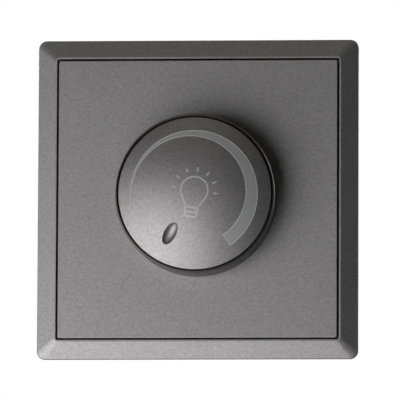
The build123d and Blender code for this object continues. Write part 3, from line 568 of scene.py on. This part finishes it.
@dataclass(frozen=True)
class Ink(Finish):
    """Screen printed ink with some metal flakes in it, matter than the lacquer under it."""

    metal_share: float = 0.36
    peel: float = 0.000004

    def wire(self, wiring: Wiring, shader: Node) -> None:
        """Wire the ink. See Finish.wire."""
        grain = FlakeGrain.place(wiring, Contrast=0.16)
        drift = SlowDrift.place(wiring, Patch_Size=0.004, Contrast=0.06)
        wiring.fill(shader, Base_Color=self.toned(wiring, grain["Tone"], drift["Tone"]))
        wiring.fill(shader, Normal=self.bumped(wiring, grain["Height"], self.peel))
        wiring.fill(shader, Metallic=self.metal_share)


@dataclass(frozen=True)
class Metal(Finish):
    """Bare or plated metal with fine lines, rubbed edges and a slow stain."""

    lay: Lay = Lay.EVEN
    line_size: float = 0.00015
    contrast: float = 0.25
    depth: float = 0.000005
    stain: float = 0.25
    edge_gain: float = 1.15

    def wire(self, wiring: Wiring, shader: Node) -> None:
        """Wire the metal. See Finish.wire."""
        wiring.fill(shader, Metallic=1.0)
        lines = DrawnLines.place(
            wiring, Stretch=self.lay.value, Line_Size=self.line_size, Contrast=self.contrast
        )
        drift = SlowDrift.place(wiring, Patch_Size=0.008, Contrast=self.stain)
        wear = EdgeWear.place(wiring, Width=0.00015, Amount=0.4)
        toned = self.toned(wiring, lines["Tone"], drift["Tone"])
        bright = tuple(min(1.0, part * self.edge_gain) for part in self.colour)
        wiring.fill(shader, Base_Color=wiring.blend(wear["Mask"], toned, bright))
        wiring.fill(shader, Roughness=wiring.times(lines["Tone"], drift["Tone"], self.roughness))
        normal = self.bumped(wiring, lines["Height"], self.depth, wear["Rounded Normal"])
        wiring.fill(shader, Normal=normal)


@dataclass(frozen=True)
class Moulded(Finish):
    """Moulded plastic with its eroded skin and softly rubbed edges."""

    pit_size: float = 0.0004
    depth: float = 0.00001
    wear: float = 0.2
    edge_pallor: float = 0.25
    dust: Colour = (0.55, 0.53, 0.5)

    def wire(self, wiring: Wiring, shader: Node) -> None:
        """Wire the plastic. See Finish.wire."""
        skin = MouldedSkin.place(wiring, Pit_Size=self.pit_size)
        drift = SlowDrift.place(wiring, Contrast=0.08)
        wear = EdgeWear.place(wiring, Width=0.0002, Amount=self.wear)
        dust = DustFilm.place(wiring, Amount=0.08)
        toned = self.toned(wiring, skin["Tone"], drift["Tone"])
        pale = tuple(part + (1.0 - part) * self.edge_pallor for part in self.colour)
        rubbed = wiring.blend(wear["Mask"], toned, pale)
        wiring.fill(shader, Base_Color=wiring.blend(dust["Mask"], rubbed, self.dust))
        wiring.fill(shader, Roughness=wiring.times(skin["Tone"], self.roughness))
        normal = self.bumped(wiring, skin["Height"], self.depth, wear["Rounded Normal"])
        wiring.fill(shader, Normal=normal)


@dataclass(frozen=True)
class Threaded(Metal):
    """Metal with a thread cut along one stretch of an axis, with painted shade in the thread's roots."""

    axis: Axis = Axis.Y
    start: float = 0.0
    end: float = 0.01
    pitch: float = 0.0005
    ridge_share: float = 0.4
    root_shade: float = 0.35

    def wire(self, wiring: Wiring, shader: Node) -> None:
        """Wire the metal, then lay the thread over its normal and paint shade into its roots. See
        Finish.wire.
        """
        super().wire(wiring, shader)
        thread = CutThread.place(
            wiring, Along=wiring.along(self.axis), Start=self.start, End=self.end, Pitch=self.pitch
        )
        depth = self.pitch * self.ridge_share
        ridged = self.bumped(wiring, thread["Height"], depth, self.fed(shader, "Normal"))
        wiring.fill(shader, Normal=ridged)
        # Painted shade: the thread's roots are darkened in colour, since the ridges are only bumps.
        shaded = tuple(part * self.root_shade for part in self.colour)
        colour = wiring.blend(thread["Root"], self.fed(shader, "Base Color"), shaded)
        wiring.fill(shader, Base_Color=colour)


@dataclass(frozen=True)
class Leaded(Moulded):
    """A moulded body between two tinned wires along X, with painted rings round it."""

    middle: float = 0.0
    half_length: float = 0.003
    rings: tuple[tuple[float, RingPaint], ...] = ()
    ring_half: float = 0.00027
    tin: Colour = (0.70, 0.69, 0.65)

    def wire(self, wiring: Wiring, shader: Node) -> None:
        """Wire the body, then the rings and the wires over it. See Finish.wire."""
        super().wire(wiring, shader)
        along = wiring.math("SUBTRACT", wiring.along(Axis.X), self.middle)
        colour = self.fed(shader, "Base Color")
        for offset, paint in self.rings:
            away = wiring.math("ABSOLUTE", wiring.math("SUBTRACT", along, offset))
            colour = wiring.blend(wiring.math("LESS_THAN", away, self.ring_half), colour, paint.value)
        wire = wiring.math("GREATER_THAN", wiring.math("ABSOLUTE", along), self.half_length)
        wiring.fill(shader, Base_Color=wiring.blend(wire, colour, self.tin))
        wiring.fill(shader, Metallic=wire)


@dataclass(frozen=True)
class BoardLaminate(Moulded):
    """Brown paper laminate with copper tracks under lacquer on its solder side."""

    copper: Colour = (0.42, 0.20, 0.07)
    copper_metal: float = 0.7
    copper_height: float = 0.00004

    def wire(self, wiring: Wiring, shader: Node) -> None:
        """Wire the laminate, then the copper over it. See Finish.wire."""
        super().wire(wiring, shader)
        tracks = CopperTracks.place(wiring)
        colour = wiring.blend(tracks["Copper"], self.fed(shader, "Base Color"), self.copper)
        wiring.fill(shader, Base_Color=colour)
        wiring.fill(shader, Metallic=wiring.times(tracks["Copper"], self.copper_metal))
        raised = self.bumped(wiring, tracks["Copper"], self.copper_height, self.fed(shader, "Normal"))
        wiring.fill(shader, Normal=raised)


@dataclass(frozen=True)
class ClearGlass(Finish):
    """Thin clear glass with faint draw marks."""

    mark_depth: float = 0.000002

    def wire(self, wiring: Wiring, shader: Node) -> None:
        """Wire the glass. See Finish.wire."""
        wiring.fill(shader, Base_Color=self.colour, Transmission_Weight=1.0)
        lines = DrawnLines.place(wiring, Stretch=Lay.ALONG_Z.value, Line_Size=0.0005, Contrast=0.1)
        wiring.fill(shader, Normal=self.bumped(wiring, lines["Height"], self.mark_depth))


@dataclass(frozen=True)
class PaleFloor(Finish):
    """Pale paint that the camera and reflections see as bright as the white surround."""

    glow: float = 0.9

    def wire(self, wiring: Wiring, shader: Node) -> None:
        """Wire the paint. See Finish.wire."""
        drift = SlowDrift.place(wiring, Patch_Size=0.5, Contrast=0.02)
        wiring.fill(shader, Base_Color=self.toned(wiring, drift["Tone"]))
        glow = wiring.times(rays_that_see_white(wiring), self.glow)
        wiring.fill(shader, Emission_Color=(1.0, 1.0, 1.0), Emission_Strength=glow)


def rays_that_see_white(wiring: Wiring) -> Socket:
    """Tell the camera's own rays, and those that metal or glass sends on, from all others.

    Args:
        wiring: The tree of a staged material or of the world.

    Returns:
        An output that is 1 for those rays and 0 for others.
    """
    path = wiring.add("LightPath").outputs
    seen = wiring.math("MAXIMUM", path["Is Camera Ray"], path["Is Glossy Ray"])
    return wiring.math("MAXIMUM", seen, path["Is Transmission Ray"])


def dress(node: str, finish: Finish) -> None:
    """Give a CAD node a finish.

    Args:
        node: The node's name.
        finish: The finish for all of its faces.
    """
    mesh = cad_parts[node].data
    mesh.materials.clear()
    mesh.materials.append(finish.material())
    log.info("%s wears %s", node, finish.name)


@dataclass
class FrontPlate:
    """The outer frame and the flush centre plate."""

    lacquer: Lacquer = Lacquer("plate_lacquer", (0.300, 0.293, 0.295), 0.54)

    def build(self) -> None:
        """Dress both plates."""
        dress("outer_frame", self.lacquer)
        dress("centre_plate", self.lacquer)


@dataclass
class CapPrint:
    """The pale print on the domed cap: the scale that widens clockwise, a lamp and its rays.

    Lengths are in millimetres and angles in degrees, anticlockwise from +X seen from the room.
    """

    dome_rise: float = 4.0
    ink_height: float = 0.03
    ink_root: float = 0.04
    shift_x: float = -0.12
    shift_z: float = -0.25
    scale_radius: float = 16.98
    scale_start: float = 195.0
    scale_end: float = -55.3
    scale_thin: float = 0.16
    scale_wide: float = 3.42
    scale_ease: float = 0.085
    scale_swell: float = 0.095
    scale_fade: float = 1.0
    outline_width: float = 0.18
    lamp_x: float = 0.29
    lamp_z: float = 0.61
    lamp_lean: float = -9.3
    globe_radius: float = 3.6
    globe_open: float = 60.0
    line_width: float = 0.43
    cap_line_width: float = 0.5
    neck_half_width: float = 1.72
    neck_drop: float = 4.35
    neck_knee: float = 0.1
    base_half_width: float = 1.66
    base_top: float = 4.62
    base_bottom: float = 7.1
    base_corner: float = 0.7
    ray_radius: float = 5.7
    ray_length: float = 1.2
    ray_width: float = 0.55
    ray_taper: float = 0.45
    ray_spacing: float = 30.0
    ray_count: int = 7
    globe_steps: int = 72
    corner_steps: int = 6
    band_steps: int = 6
    ray_steps: int = 4
    scale_ink: Ink = Ink("scale_ink", (0.262, 0.266, 0.265), 0.55)
    lamp_ink: Ink = Ink("lamp_ink", (0.350, 0.355, 0.350), 0.55)
    edge_ink: Ink = Ink("scale_edge_ink", (0.460, 0.468, 0.463), 0.5)

    def __post_init__(self) -> None:
        """Read the dome's place from the frame."""
        low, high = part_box("knob_cap")
        radius = (high.x - low.x) / 2
        rise = self.dome_rise * MM
        self.sphere = (radius**2 + rise**2) / (2 * rise)
        self.centre_y = low.y + self.sphere

    def point(self, x: float, z: float, lift: float) -> Vector:
        """Lay a point on the dome.

        Args:
            x: Distance to the right of the knob's axis.
            z: Distance above it.
            lift: Height over the dome's surface.

        Returns:
            The point in metres.
        """
        flat = Vector(((x + self.shift_x) * MM, 0, (z + self.shift_z) * MM))
        depth = math.sqrt(self.sphere**2 - flat.length_squared)
        outward = Vector((flat.x, -depth, flat.z)) / self.sphere
        return Vector((0, self.centre_y, 0)) + outward * (self.sphere + lift * MM)

    def patch(self, name: str, rows: list[list[Flat]], ink: Ink, extra: float = 0.0) -> None:
        """Make a closed patch of ink from a grid of points on the cap's face.

        Args:
            name: The piece's name.
            rows: Rows of points, all of one length.
            ink: The patch's finish.
            extra: More height over the dome.
        """
        shape = bmesh.new()
        lifts = (self.ink_height + extra, -self.ink_root)
        top, under = [
            [[shape.verts.new(self.point(x, z, lift)) for x, z in row] for row in rows] for lift in lifts
        ]
        last_row, last_column = len(rows) - 1, len(rows[0]) - 1
        for i in range(last_row):
            for j in range(last_column):
                shape.faces.new((top[i][j], top[i][j + 1], top[i + 1][j + 1], top[i + 1][j]))
                shape.faces.new((under[i][j], under[i + 1][j], under[i + 1][j + 1], under[i][j + 1]))
        for i in range(last_row):
            for j in (0, last_column):
                shape.faces.new((top[i][j], top[i + 1][j], under[i + 1][j], under[i][j]))
        for j in range(last_column):
            for i in (0, last_row):
                shape.faces.new((top[i][j], top[i][j + 1], under[i][j + 1], under[i][j]))
        bmesh.ops.recalc_face_normals(shape, faces=shape.faces)
        mesh = bpy.data.meshes.new(name)
        shape.to_mesh(mesh)
        shape.free()
        mesh.materials.append(ink.material())
        piece = bpy.data.objects.new(name, mesh)
        bpy.context.scene.collection.objects.link(piece)
        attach(piece, "knob")
        log.info("%s printed with %d faces", name, len(mesh.polygons))

    def stroke(self, name: str, path: list[Flat], width: Callable[[float], float], ink: Ink) -> None:
        """Print a line along a path.

        Args:
            name: The piece's name.
            path: Points on the cap's face.
            width: The line's width at a share of the way from 0 to 1.
            ink: Its finish.
        """
        rows = []
        for i, (x, z) in enumerate(path):
            before, after = path[max(i - 1, 0)], path[min(i + 1, len(path) - 1)]
            along = Vector((after[0] - before[0], after[1] - before[1])).normalized()
            half = width(i / (len(path) - 1)) / 2
            rows.append([(x - along.y * side * half, z + along.x * side * half) for side in (-1, 0, 1)])
        self.patch(name, rows, ink)

    def scale_width(self, share: float) -> float:
        """Work out the scale's width.

        Args:
            share: Share of the way round, from its thin end.

        Returns:
            The width there.
        """
        eased = share - self.scale_ease * math.sin(2 * math.pi * share)
        eased += self.scale_swell * math.sin(math.pi * share)
        return self.scale_thin + (self.scale_wide - self.scale_thin) * eased

    def scale_point(self, share: float, inward: float) -> Flat:
        """Find a point of the scale.

        Args:
            share: Share of the way round, from its thin end.
            inward: Distance in from its outer edge.

        Returns:
            The point on the cap's face.
        """
        angle = math.radians(self.scale_start + (self.scale_end - self.scale_start) * share)
        radius = self.scale_radius - inward
        return radius * math.cos(angle), radius * math.sin(angle)

    def print_scale(self, steps: int = 220, across: int = 6) -> None:
        """Print the scale and the thin bright line round it.

        Args:
            steps: Steps along the scale.
            across: Steps across it.
        """
        shares = [i / steps for i in range(steps + 1)]
        parts = [j / across for j in range(across + 1)]
        grid = [[self.scale_point(s, self.scale_width(s) * part) for part in parts] for s in shares]
        self.patch("scale_print", grid, self.scale_ink)
        outer, inner = [], []
        for s in shares:
            width = self.scale_width(s)
            line = self.outline_width * min(1.0, width / self.scale_fade)
            outer.append([self.scale_point(s, inward) for inward in (0, line)])
            inner.append([self.scale_point(s, inward) for inward in (width, width - line)])
        length = self.scale_radius * math.radians(self.scale_start - self.scale_end)
        ends = (1.0, 1.0 - self.outline_width / length)
        end = [[self.scale_point(s, self.scale_width(1.0) * part) for s in ends] for part in parts]
        for name, rows in (("outer", outer), ("inner", inner), ("end", end)):
            self.patch(f"scale_{name}_line", rows, self.edge_ink, self.ink_height)

    def lamp_point(self, across: float, down: float) -> Flat:
        """Find a point of the lamp sign.

        Args:
            across: Distance to the right of the globe's centre in the upright sign.
            down: Distance below it.

        Returns:
            The point on the cap's face.
        """
        lean = math.radians(self.lamp_lean)
        x = across * math.cos(lean) + down * math.sin(lean)
        z = across * math.sin(lean) - down * math.cos(lean)
        return self.lamp_x + x, self.lamp_z + z

    def neck_curve(self, start: Flat, steps: int = 8) -> list[Flat]:
        """Draw the line from the globe into the neck, which bends the other way.

        Args:
            start: Where the globe's circle ends, across and down.
            steps: Steps along the line.

        Returns:
            The points after the start, on a curve with three control points.
        """
        slope = start[0] / start[1]
        knee_across = self.neck_half_width + self.neck_knee
        knee = Vector((knee_across, start[1] + (start[0] - knee_across) * slope))
        foot = Vector((self.neck_half_width, self.neck_drop))
        points = []
        for i in range(1, steps + 1):
            t = i / steps
            points.append(tuple(Vector(start) * (1 - t) ** 2 + knee * 2 * t * (1 - t) + foot * t**2))
        return points

    def print_lamp(self) -> None:
        """Print the lamp: the globe with its neck, and the cap with its two bands."""
        sweep = 360 - 2 * self.globe_open
        globe = []
        for i in range(self.globe_steps + 1):
            angle = math.radians(self.globe_open - 90 + sweep * i / self.globe_steps)
            globe.append((self.globe_radius * math.cos(angle), -self.globe_radius * math.sin(angle)))
        neck = self.neck_curve(globe[0])
        outline = [*reversed(neck), *globe, *((-x, down) for x, down in neck)]
        path = [self.lamp_point(x, down) for x, down in outline]
        self.stroke("lamp_globe", path, lambda share: self.line_width, self.lamp_ink)
        half, top, bottom = self.base_half_width, self.base_top, self.base_bottom
        corner = self.base_corner
        outline = [(-half, top), (-half, bottom - corner)]
        for i in range(1, self.corner_steps + 1):
            angle = math.radians(90 * i / self.corner_steps)
            x, down = corner * (1 - math.cos(angle)), corner * (1 - math.sin(angle))
            outline.append((-half + x, bottom - down))
        outline += [(-x, down) for x, down in reversed(outline)]
        path = [self.lamp_point(x, down) for x, down in outline]
        self.stroke("lamp_cap", path, lambda share: self.cap_line_width, self.lamp_ink)
        for i, down in enumerate((top, (top + bottom) / 2)):
            shares = [j / self.band_steps for j in range(self.band_steps + 1)]
            path = [self.lamp_point(half * (2 * share - 1), down) for share in shares]
            self.stroke(f"lamp_band_{i + 1}", path, lambda share: self.cap_line_width, self.lamp_ink)

    def print_rays(self) -> None:
        """Print the rays round the lamp's globe."""
        first = 90 - self.ray_spacing * (self.ray_count - 1) / 2
        shares = [j / self.ray_steps - 0.5 for j in range(self.ray_steps + 1)]
        for i in range(self.ray_count):
            angle = math.radians(first + self.ray_spacing * i)
            reach = [self.ray_radius + self.ray_length * share for share in shares]
            path = [self.lamp_point(r * math.cos(angle), -r * math.sin(angle)) for r in reach]
            self.stroke(f"lamp_ray_{i + 1}", path, self.ray_breadth, self.lamp_ink)

    def ray_breadth(self, share: float) -> float:
        """Return a ray's width, which tapers outward, at a share of its length."""
        return self.ray_width * (1.0 - self.ray_taper * share)

    def build(self) -> None:
        """Print all of it."""
        self.print_scale()
        self.print_lamp()
        self.print_rays()


@dataclass
class KnobAssembly:
    """The knob, its cap with the print, and the spring ring in its hub."""

    # The body's lacquer is the cap's paint made darker, which paints the skirt's shade; its rolled rim is
    # blended to a paler tone.
    skirt: RimmedLacquer = RimmedLacquer(
        "knob_shaded_lacquer", (0.155, 0.150, 0.150), 0.54,
        inner_radius=20.5 * MM, outer_radius=20.9 * MM, front=-19.1 * MM,
    )
    face: Lacquer = Lacquer("cap_lacquer", (0.285, 0.278, 0.279), 0.54)
    spring: Metal = Metal("spring_steel", (0.45, 0.45, 0.46), 0.3)
    print_on_cap: CapPrint = field(default_factory=CapPrint)

    def build(self) -> None:
        """Dress the knob and print its cap."""
        dress("knob_body", self.skirt)
        dress("knob_cap", self.face)
        dress("knob_retaining_spring", self.spring)
        self.print_on_cap.build()


@dataclass
class SupportPlate:
    """The stamped plate behind the frame, and what clamps the stack together."""

    sheet: Metal = Metal("zinc_sheet", (0.44, 0.445, 0.44), 0.42, Lay.ALONG_X, contrast=0.5)
    plated: Metal = Metal("zinc_plated", (0.66, 0.65, 0.60), 0.34)
    screws: Threaded = Threaded(
        "zinc_screws", (0.66, 0.65, 0.60), 0.34, start=-0.8 * MM, end=8.8 * MM, pitch=0.9 * MM
    )

    def build(self) -> None:
        """Dress the plate, the screws, the washer and the nut."""
        dress("mounting_plate", self.sheet)
        dress("housing_screws", self.screws)
        for node in ("bushing_washer", "bushing_nut"):
            dress(node, self.plated)


@dataclass
class WallModule:
    """The moulded housing in the wall box and its terminals."""

    shell: Moulded = Moulded("housing_plastic", (0.74, 0.74, 0.72), 0.55, depth=0.00002)
    block: Moulded = Moulded("terminal_plastic", (0.05, 0.05, 0.052), 0.5)
    clamp: Metal = Metal("clamp_brass", (0.72, 0.58, 0.30), 0.35, Lay.ALONG_Y)
    screw: Threaded = Threaded(
        "terminal_screw_steel", (0.68, 0.66, 0.58), 0.33,
        axis=Axis.Z, start=-20.8 * MM, end=-18.9 * MM, pitch=0.5 * MM,
    )

    def build(self) -> None:
        """Dress the housing, the terminal block, its clamps and their screws."""
        dress("module_housing", self.shell)
        dress("terminal_block", self.block)
        dress("terminal_clamps", self.clamp)
        dress("terminal_screws", self.screw)


@dataclass
class Potentiometer:
    """The potentiometer with its switch."""

    casting: Threaded = Threaded(
        "zinc_casting", (0.60, 0.60, 0.60), 0.45, start=-10.6 * MM, end=-1.8 * MM, pitch=0.75 * MM
    )
    can: Metal = Metal("can_steel", (0.64, 0.63, 0.58), 0.38, Lay.ALONG_Y)
    shaft: Metal = Metal("shaft_aluminium", (0.75, 0.75, 0.76), 0.32)
    brass: Metal = Metal("contact_brass", (0.72, 0.58, 0.30), 0.3)
    tinned: Metal = Metal("tinned_brass", (0.70, 0.68, 0.62), 0.35)
    black: Moulded = Moulded("black_plastic", (0.035, 0.035, 0.036), 0.45)
    wafer: Moulded = Moulded("track_wafer", (0.18, 0.10, 0.05), 0.5)

    def build(self) -> None:
        """Dress each of its parts."""
        parts = {
            "threaded_bushing": self.casting,
            "potentiometer_can": self.can,
            "potentiometer_shaft": self.shaft,
            "wiper_contact": self.brass,
            "track_pins": self.tinned,
            "switch_blades": self.tinned,
            "wiper_carrier": self.black,
            "rotary_switch_case": self.black,
            "resistance_track": self.wafer,
        }
        for node, finish in parts.items():
            dress(node, finish)


@dataclass
class PowerBoard:
    """The circuit board and everything soldered or screwed to it."""

    laminate: BoardLaminate = BoardLaminate("board_laminate", (0.50, 0.34, 0.14), 0.5)
    aluminium: Metal = Metal("spreader_aluminium", (0.76, 0.76, 0.77), 0.35, Lay.ALONG_Z)
    mica: Moulded = Moulded("mica_sheet", (0.70, 0.64, 0.55), 0.25)
    package: Moulded = Moulded("triac_package", (0.03, 0.03, 0.032), 0.45)
    steel: Threaded = Threaded(
        "triac_screw_steel", (0.66, 0.65, 0.60), 0.35, start=1.2 * MM, end=5.0 * MM, pitch=0.5 * MM
    )
    ferrite: Moulded = Moulded("core_coating", (0.10, 0.10, 0.11), 0.6)
    copper: Metal = Metal("enamelled_copper", (0.72, 0.33, 0.16), 0.25)
    yellow: Moulded = Moulded("film_case", (0.72, 0.52, 0.06), 0.3)
    red: Moulded = Moulded("timing_case", (0.36, 0.05, 0.04), 0.3)
    beige: Leaded = Leaded(
        "resistor_lacquer", (0.66, 0.50, 0.32), 0.35, half_length=3.15 * MM,
        rings=(
            (-2.1 * MM, RingPaint.BROWN),
            (-1.0 * MM, RingPaint.BLACK),
            (0.1 * MM, RingPaint.ORANGE),
            (1.9 * MM, RingPaint.GOLD),
        ),
    )
    blue: Leaded = Leaded("diode_body", (0.06, 0.14, 0.36), 0.3, half_length=2.1 * MM)
    tinned: Metal = Metal("fuse_metal", (0.72, 0.70, 0.66), 0.3)
    glass: ClearGlass = ClearGlass("fuse_glass", (0.95, 0.97, 0.97), 0.05)

    def centred(self, node: str, finish: Leaded) -> Leaded:
        """Return a leaded finish with its middle at its node's."""
        low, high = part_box(node)
        return replace(finish, middle=(low.x + high.x) / 2)

    def build(self) -> None:
        """Dress each of its parts."""
        parts = {
            "circuit_board": self.laminate,
            "heat_spreader": self.aluminium,
            "triac_insulator": self.mica,
            "triac": self.package,
            "triac_screw": self.steel,
            "choke_core": self.ferrite,
            "choke_winding": self.copper,
            "film_capacitor": self.yellow,
            "timing_capacitor": self.red,
            "resistors": self.centred("resistors", self.beige),
            "trigger_diode": self.centred("trigger_diode", self.blue),
            "fuse_caps": self.tinned,
            "fuse_clips": self.tinned,
            "fuse_tube": self.glass,
        }
        for node, finish in parts.items():
            dress(node, finish)


@dataclass
class Lamp:
    """A soft area lamp that looks at the frame's origin."""

    name: str
    place: tuple[float, float, float]
    width: float
    watts: float
    colour: Colour = (1.0, 1.0, 1.0)

    def build(self) -> None:
        """Hang the lamp."""
        data = bpy.data.lights.new(self.name, "AREA")
        data.color = self.colour
        data.shape = "SQUARE"
        data.size = self.width
        data.energy = self.watts
        lamp = bpy.data.objects.new(self.name, data)
        lamp.location = self.place
        lamp.rotation_euler = (-Vector(self.place)).to_track_quat("-Z", "Y").to_euler()
        lamp.visible_camera = False
        bpy.context.scene.collection.objects.link(lamp)


@dataclass
class Studio:
    """The pale floor, the soft lamps, the white surround and the camera at the photo's angle."""

    azimuth: float = 3.8
    elevation: float = -7.1
    roll: float = 0.27
    distance: float = 2.0
    field_width: float = 0.1070
    aim: tuple[float, float, float] = (0.00042, -0.004, 0.0001)
    floor_level: float = -1.7
    floor_size: float = 60.0
    view_reach: float = 100.0
    ambient: float = 0.12
    tent_radius: float = 1.6
    tent_reach: float = 0.8
    tent_segments: int = 32
    paint: PaleFloor = PaleFloor("floor_paint", (0.82, 0.82, 0.82), 0.7, glow=0.9)
    cloth: Moulded = Moulded("tent_cloth", (0.01, 0.01, 0.01), 0.9, wear=0.0)
    lamps: tuple[Lamp, ...] = (
        Lamp("key_lamp", (-0.184, -0.305, -0.177), width=0.40, watts=1.93),
        Lamp("top_lamp", (-0.05, -0.45, 0.95), width=0.6, watts=0.85, colour=(1.0, 0.965, 0.91)),
        Lamp("left_side_lamp", (-1.3, 0.6, 0.4), width=0.8, watts=12.0),
        Lamp("right_side_lamp", (1.3, 0.6, 0.5), width=0.8, watts=12.0),
        Lamp("rear_lamp", (0.4, 1.6, 1.3), width=0.9, watts=9.0),
    )

    def camera(self) -> None:
        """Set the camera where the photo was taken from."""
        data = bpy.data.cameras.new("photo_camera")
        data.lens = data.sensor_width * self.distance / self.field_width
        data.clip_end = self.view_reach
        camera = bpy.data.objects.new("photo_camera", data)
        turn, rise = math.radians(self.azimuth), math.radians(self.elevation)
        back = Vector((math.sin(turn) * math.cos(rise), -math.cos(turn) * math.cos(rise), math.sin(rise)))
        camera.location = Vector(self.aim) + back * self.distance
        level = (-back).to_track_quat("-Z", "Y")
        camera.rotation_euler = (level @ Quaternion((0, 0, 1), math.radians(self.roll))).to_euler()
        bpy.context.scene.collection.objects.link(camera)
        bpy.context.scene.camera = camera

    def surround(self) -> None:
        """Make the world white to the camera and to reflections, and dim to matt surfaces."""
        world = bpy.data.worlds.new("white_surround")
        world.use_nodes = True
        wiring = Wiring(world.node_tree)
        seen = rays_that_see_white(wiring)
        strength = wiring.math("MULTIPLY_ADD", seen, 1.0 - self.ambient, self.ambient)
        white = wiring.add("Background", Color=(1.0, 1.0, 1.0), Strength=strength)
        wiring.add("OutputWorld", Surface=white.outputs[0])
        bpy.context.scene.world = world

    def tent(self) -> None:
        """Hang the black half tent in front, which only reflections see, as a photographer does."""
        shape = bmesh.new()
        round_it, upward = self.tent_segments, self.tent_segments // 2
        bmesh.ops.create_uvsphere(shape, u_segments=round_it, v_segments=upward, radius=self.tent_radius)
        behind = [vertex for vertex in shape.verts if vertex.co.y > self.tent_radius * self.tent_reach]
        bmesh.ops.delete(shape, geom=behind, context="VERTS")
        mesh = bpy.data.meshes.new("studio_tent")
        shape.to_mesh(mesh)
        shape.free()
        mesh.materials.append(self.cloth.material())
        tent = bpy.data.objects.new("studio_tent", mesh)
        for ray in ("camera", "diffuse", "transmission", "volume_scatter", "shadow"):
            setattr(tent, "visible_" + ray, False)
        bpy.context.scene.collection.objects.link(tent)

    def floor(self) -> None:
        """Lay the pale floor."""
        half = self.floor_size / 2
        plan = ((-half, -half), (half, -half), (half, half), (-half, half))
        mesh = bpy.data.meshes.new("studio_floor")
        mesh.from_pydata([(x, y, self.floor_level) for x, y in plan], [], [(0, 1, 2, 3)])
        mesh.materials.append(self.paint.material())
        floor = bpy.data.objects.new("studio_floor", mesh)
        bpy.context.scene.collection.objects.link(floor)

    def build(self) -> None:
        """Set up the studio."""
        self.camera()
        self.surround()
        self.floor()
        self.tent()
        for lamp in self.lamps:
            lamp.build()
        bpy.context.scene.view_settings.view_transform = "Standard"


def main() -> None:
    """Build the dimmer's looks and the studio round it."""
    logging.basicConfig(level=logging.INFO, format="%(name)s: %(message)s")
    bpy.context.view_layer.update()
    kinds = (Studio, FrontPlate, KnobAssembly, SupportPlate, WallModule, Potentiometer, PowerBoard)
    for kind in kinds:
        kind().build()
        log.info("%s is ready", kind.__name__)


if __name__ == "__main__":
    main()
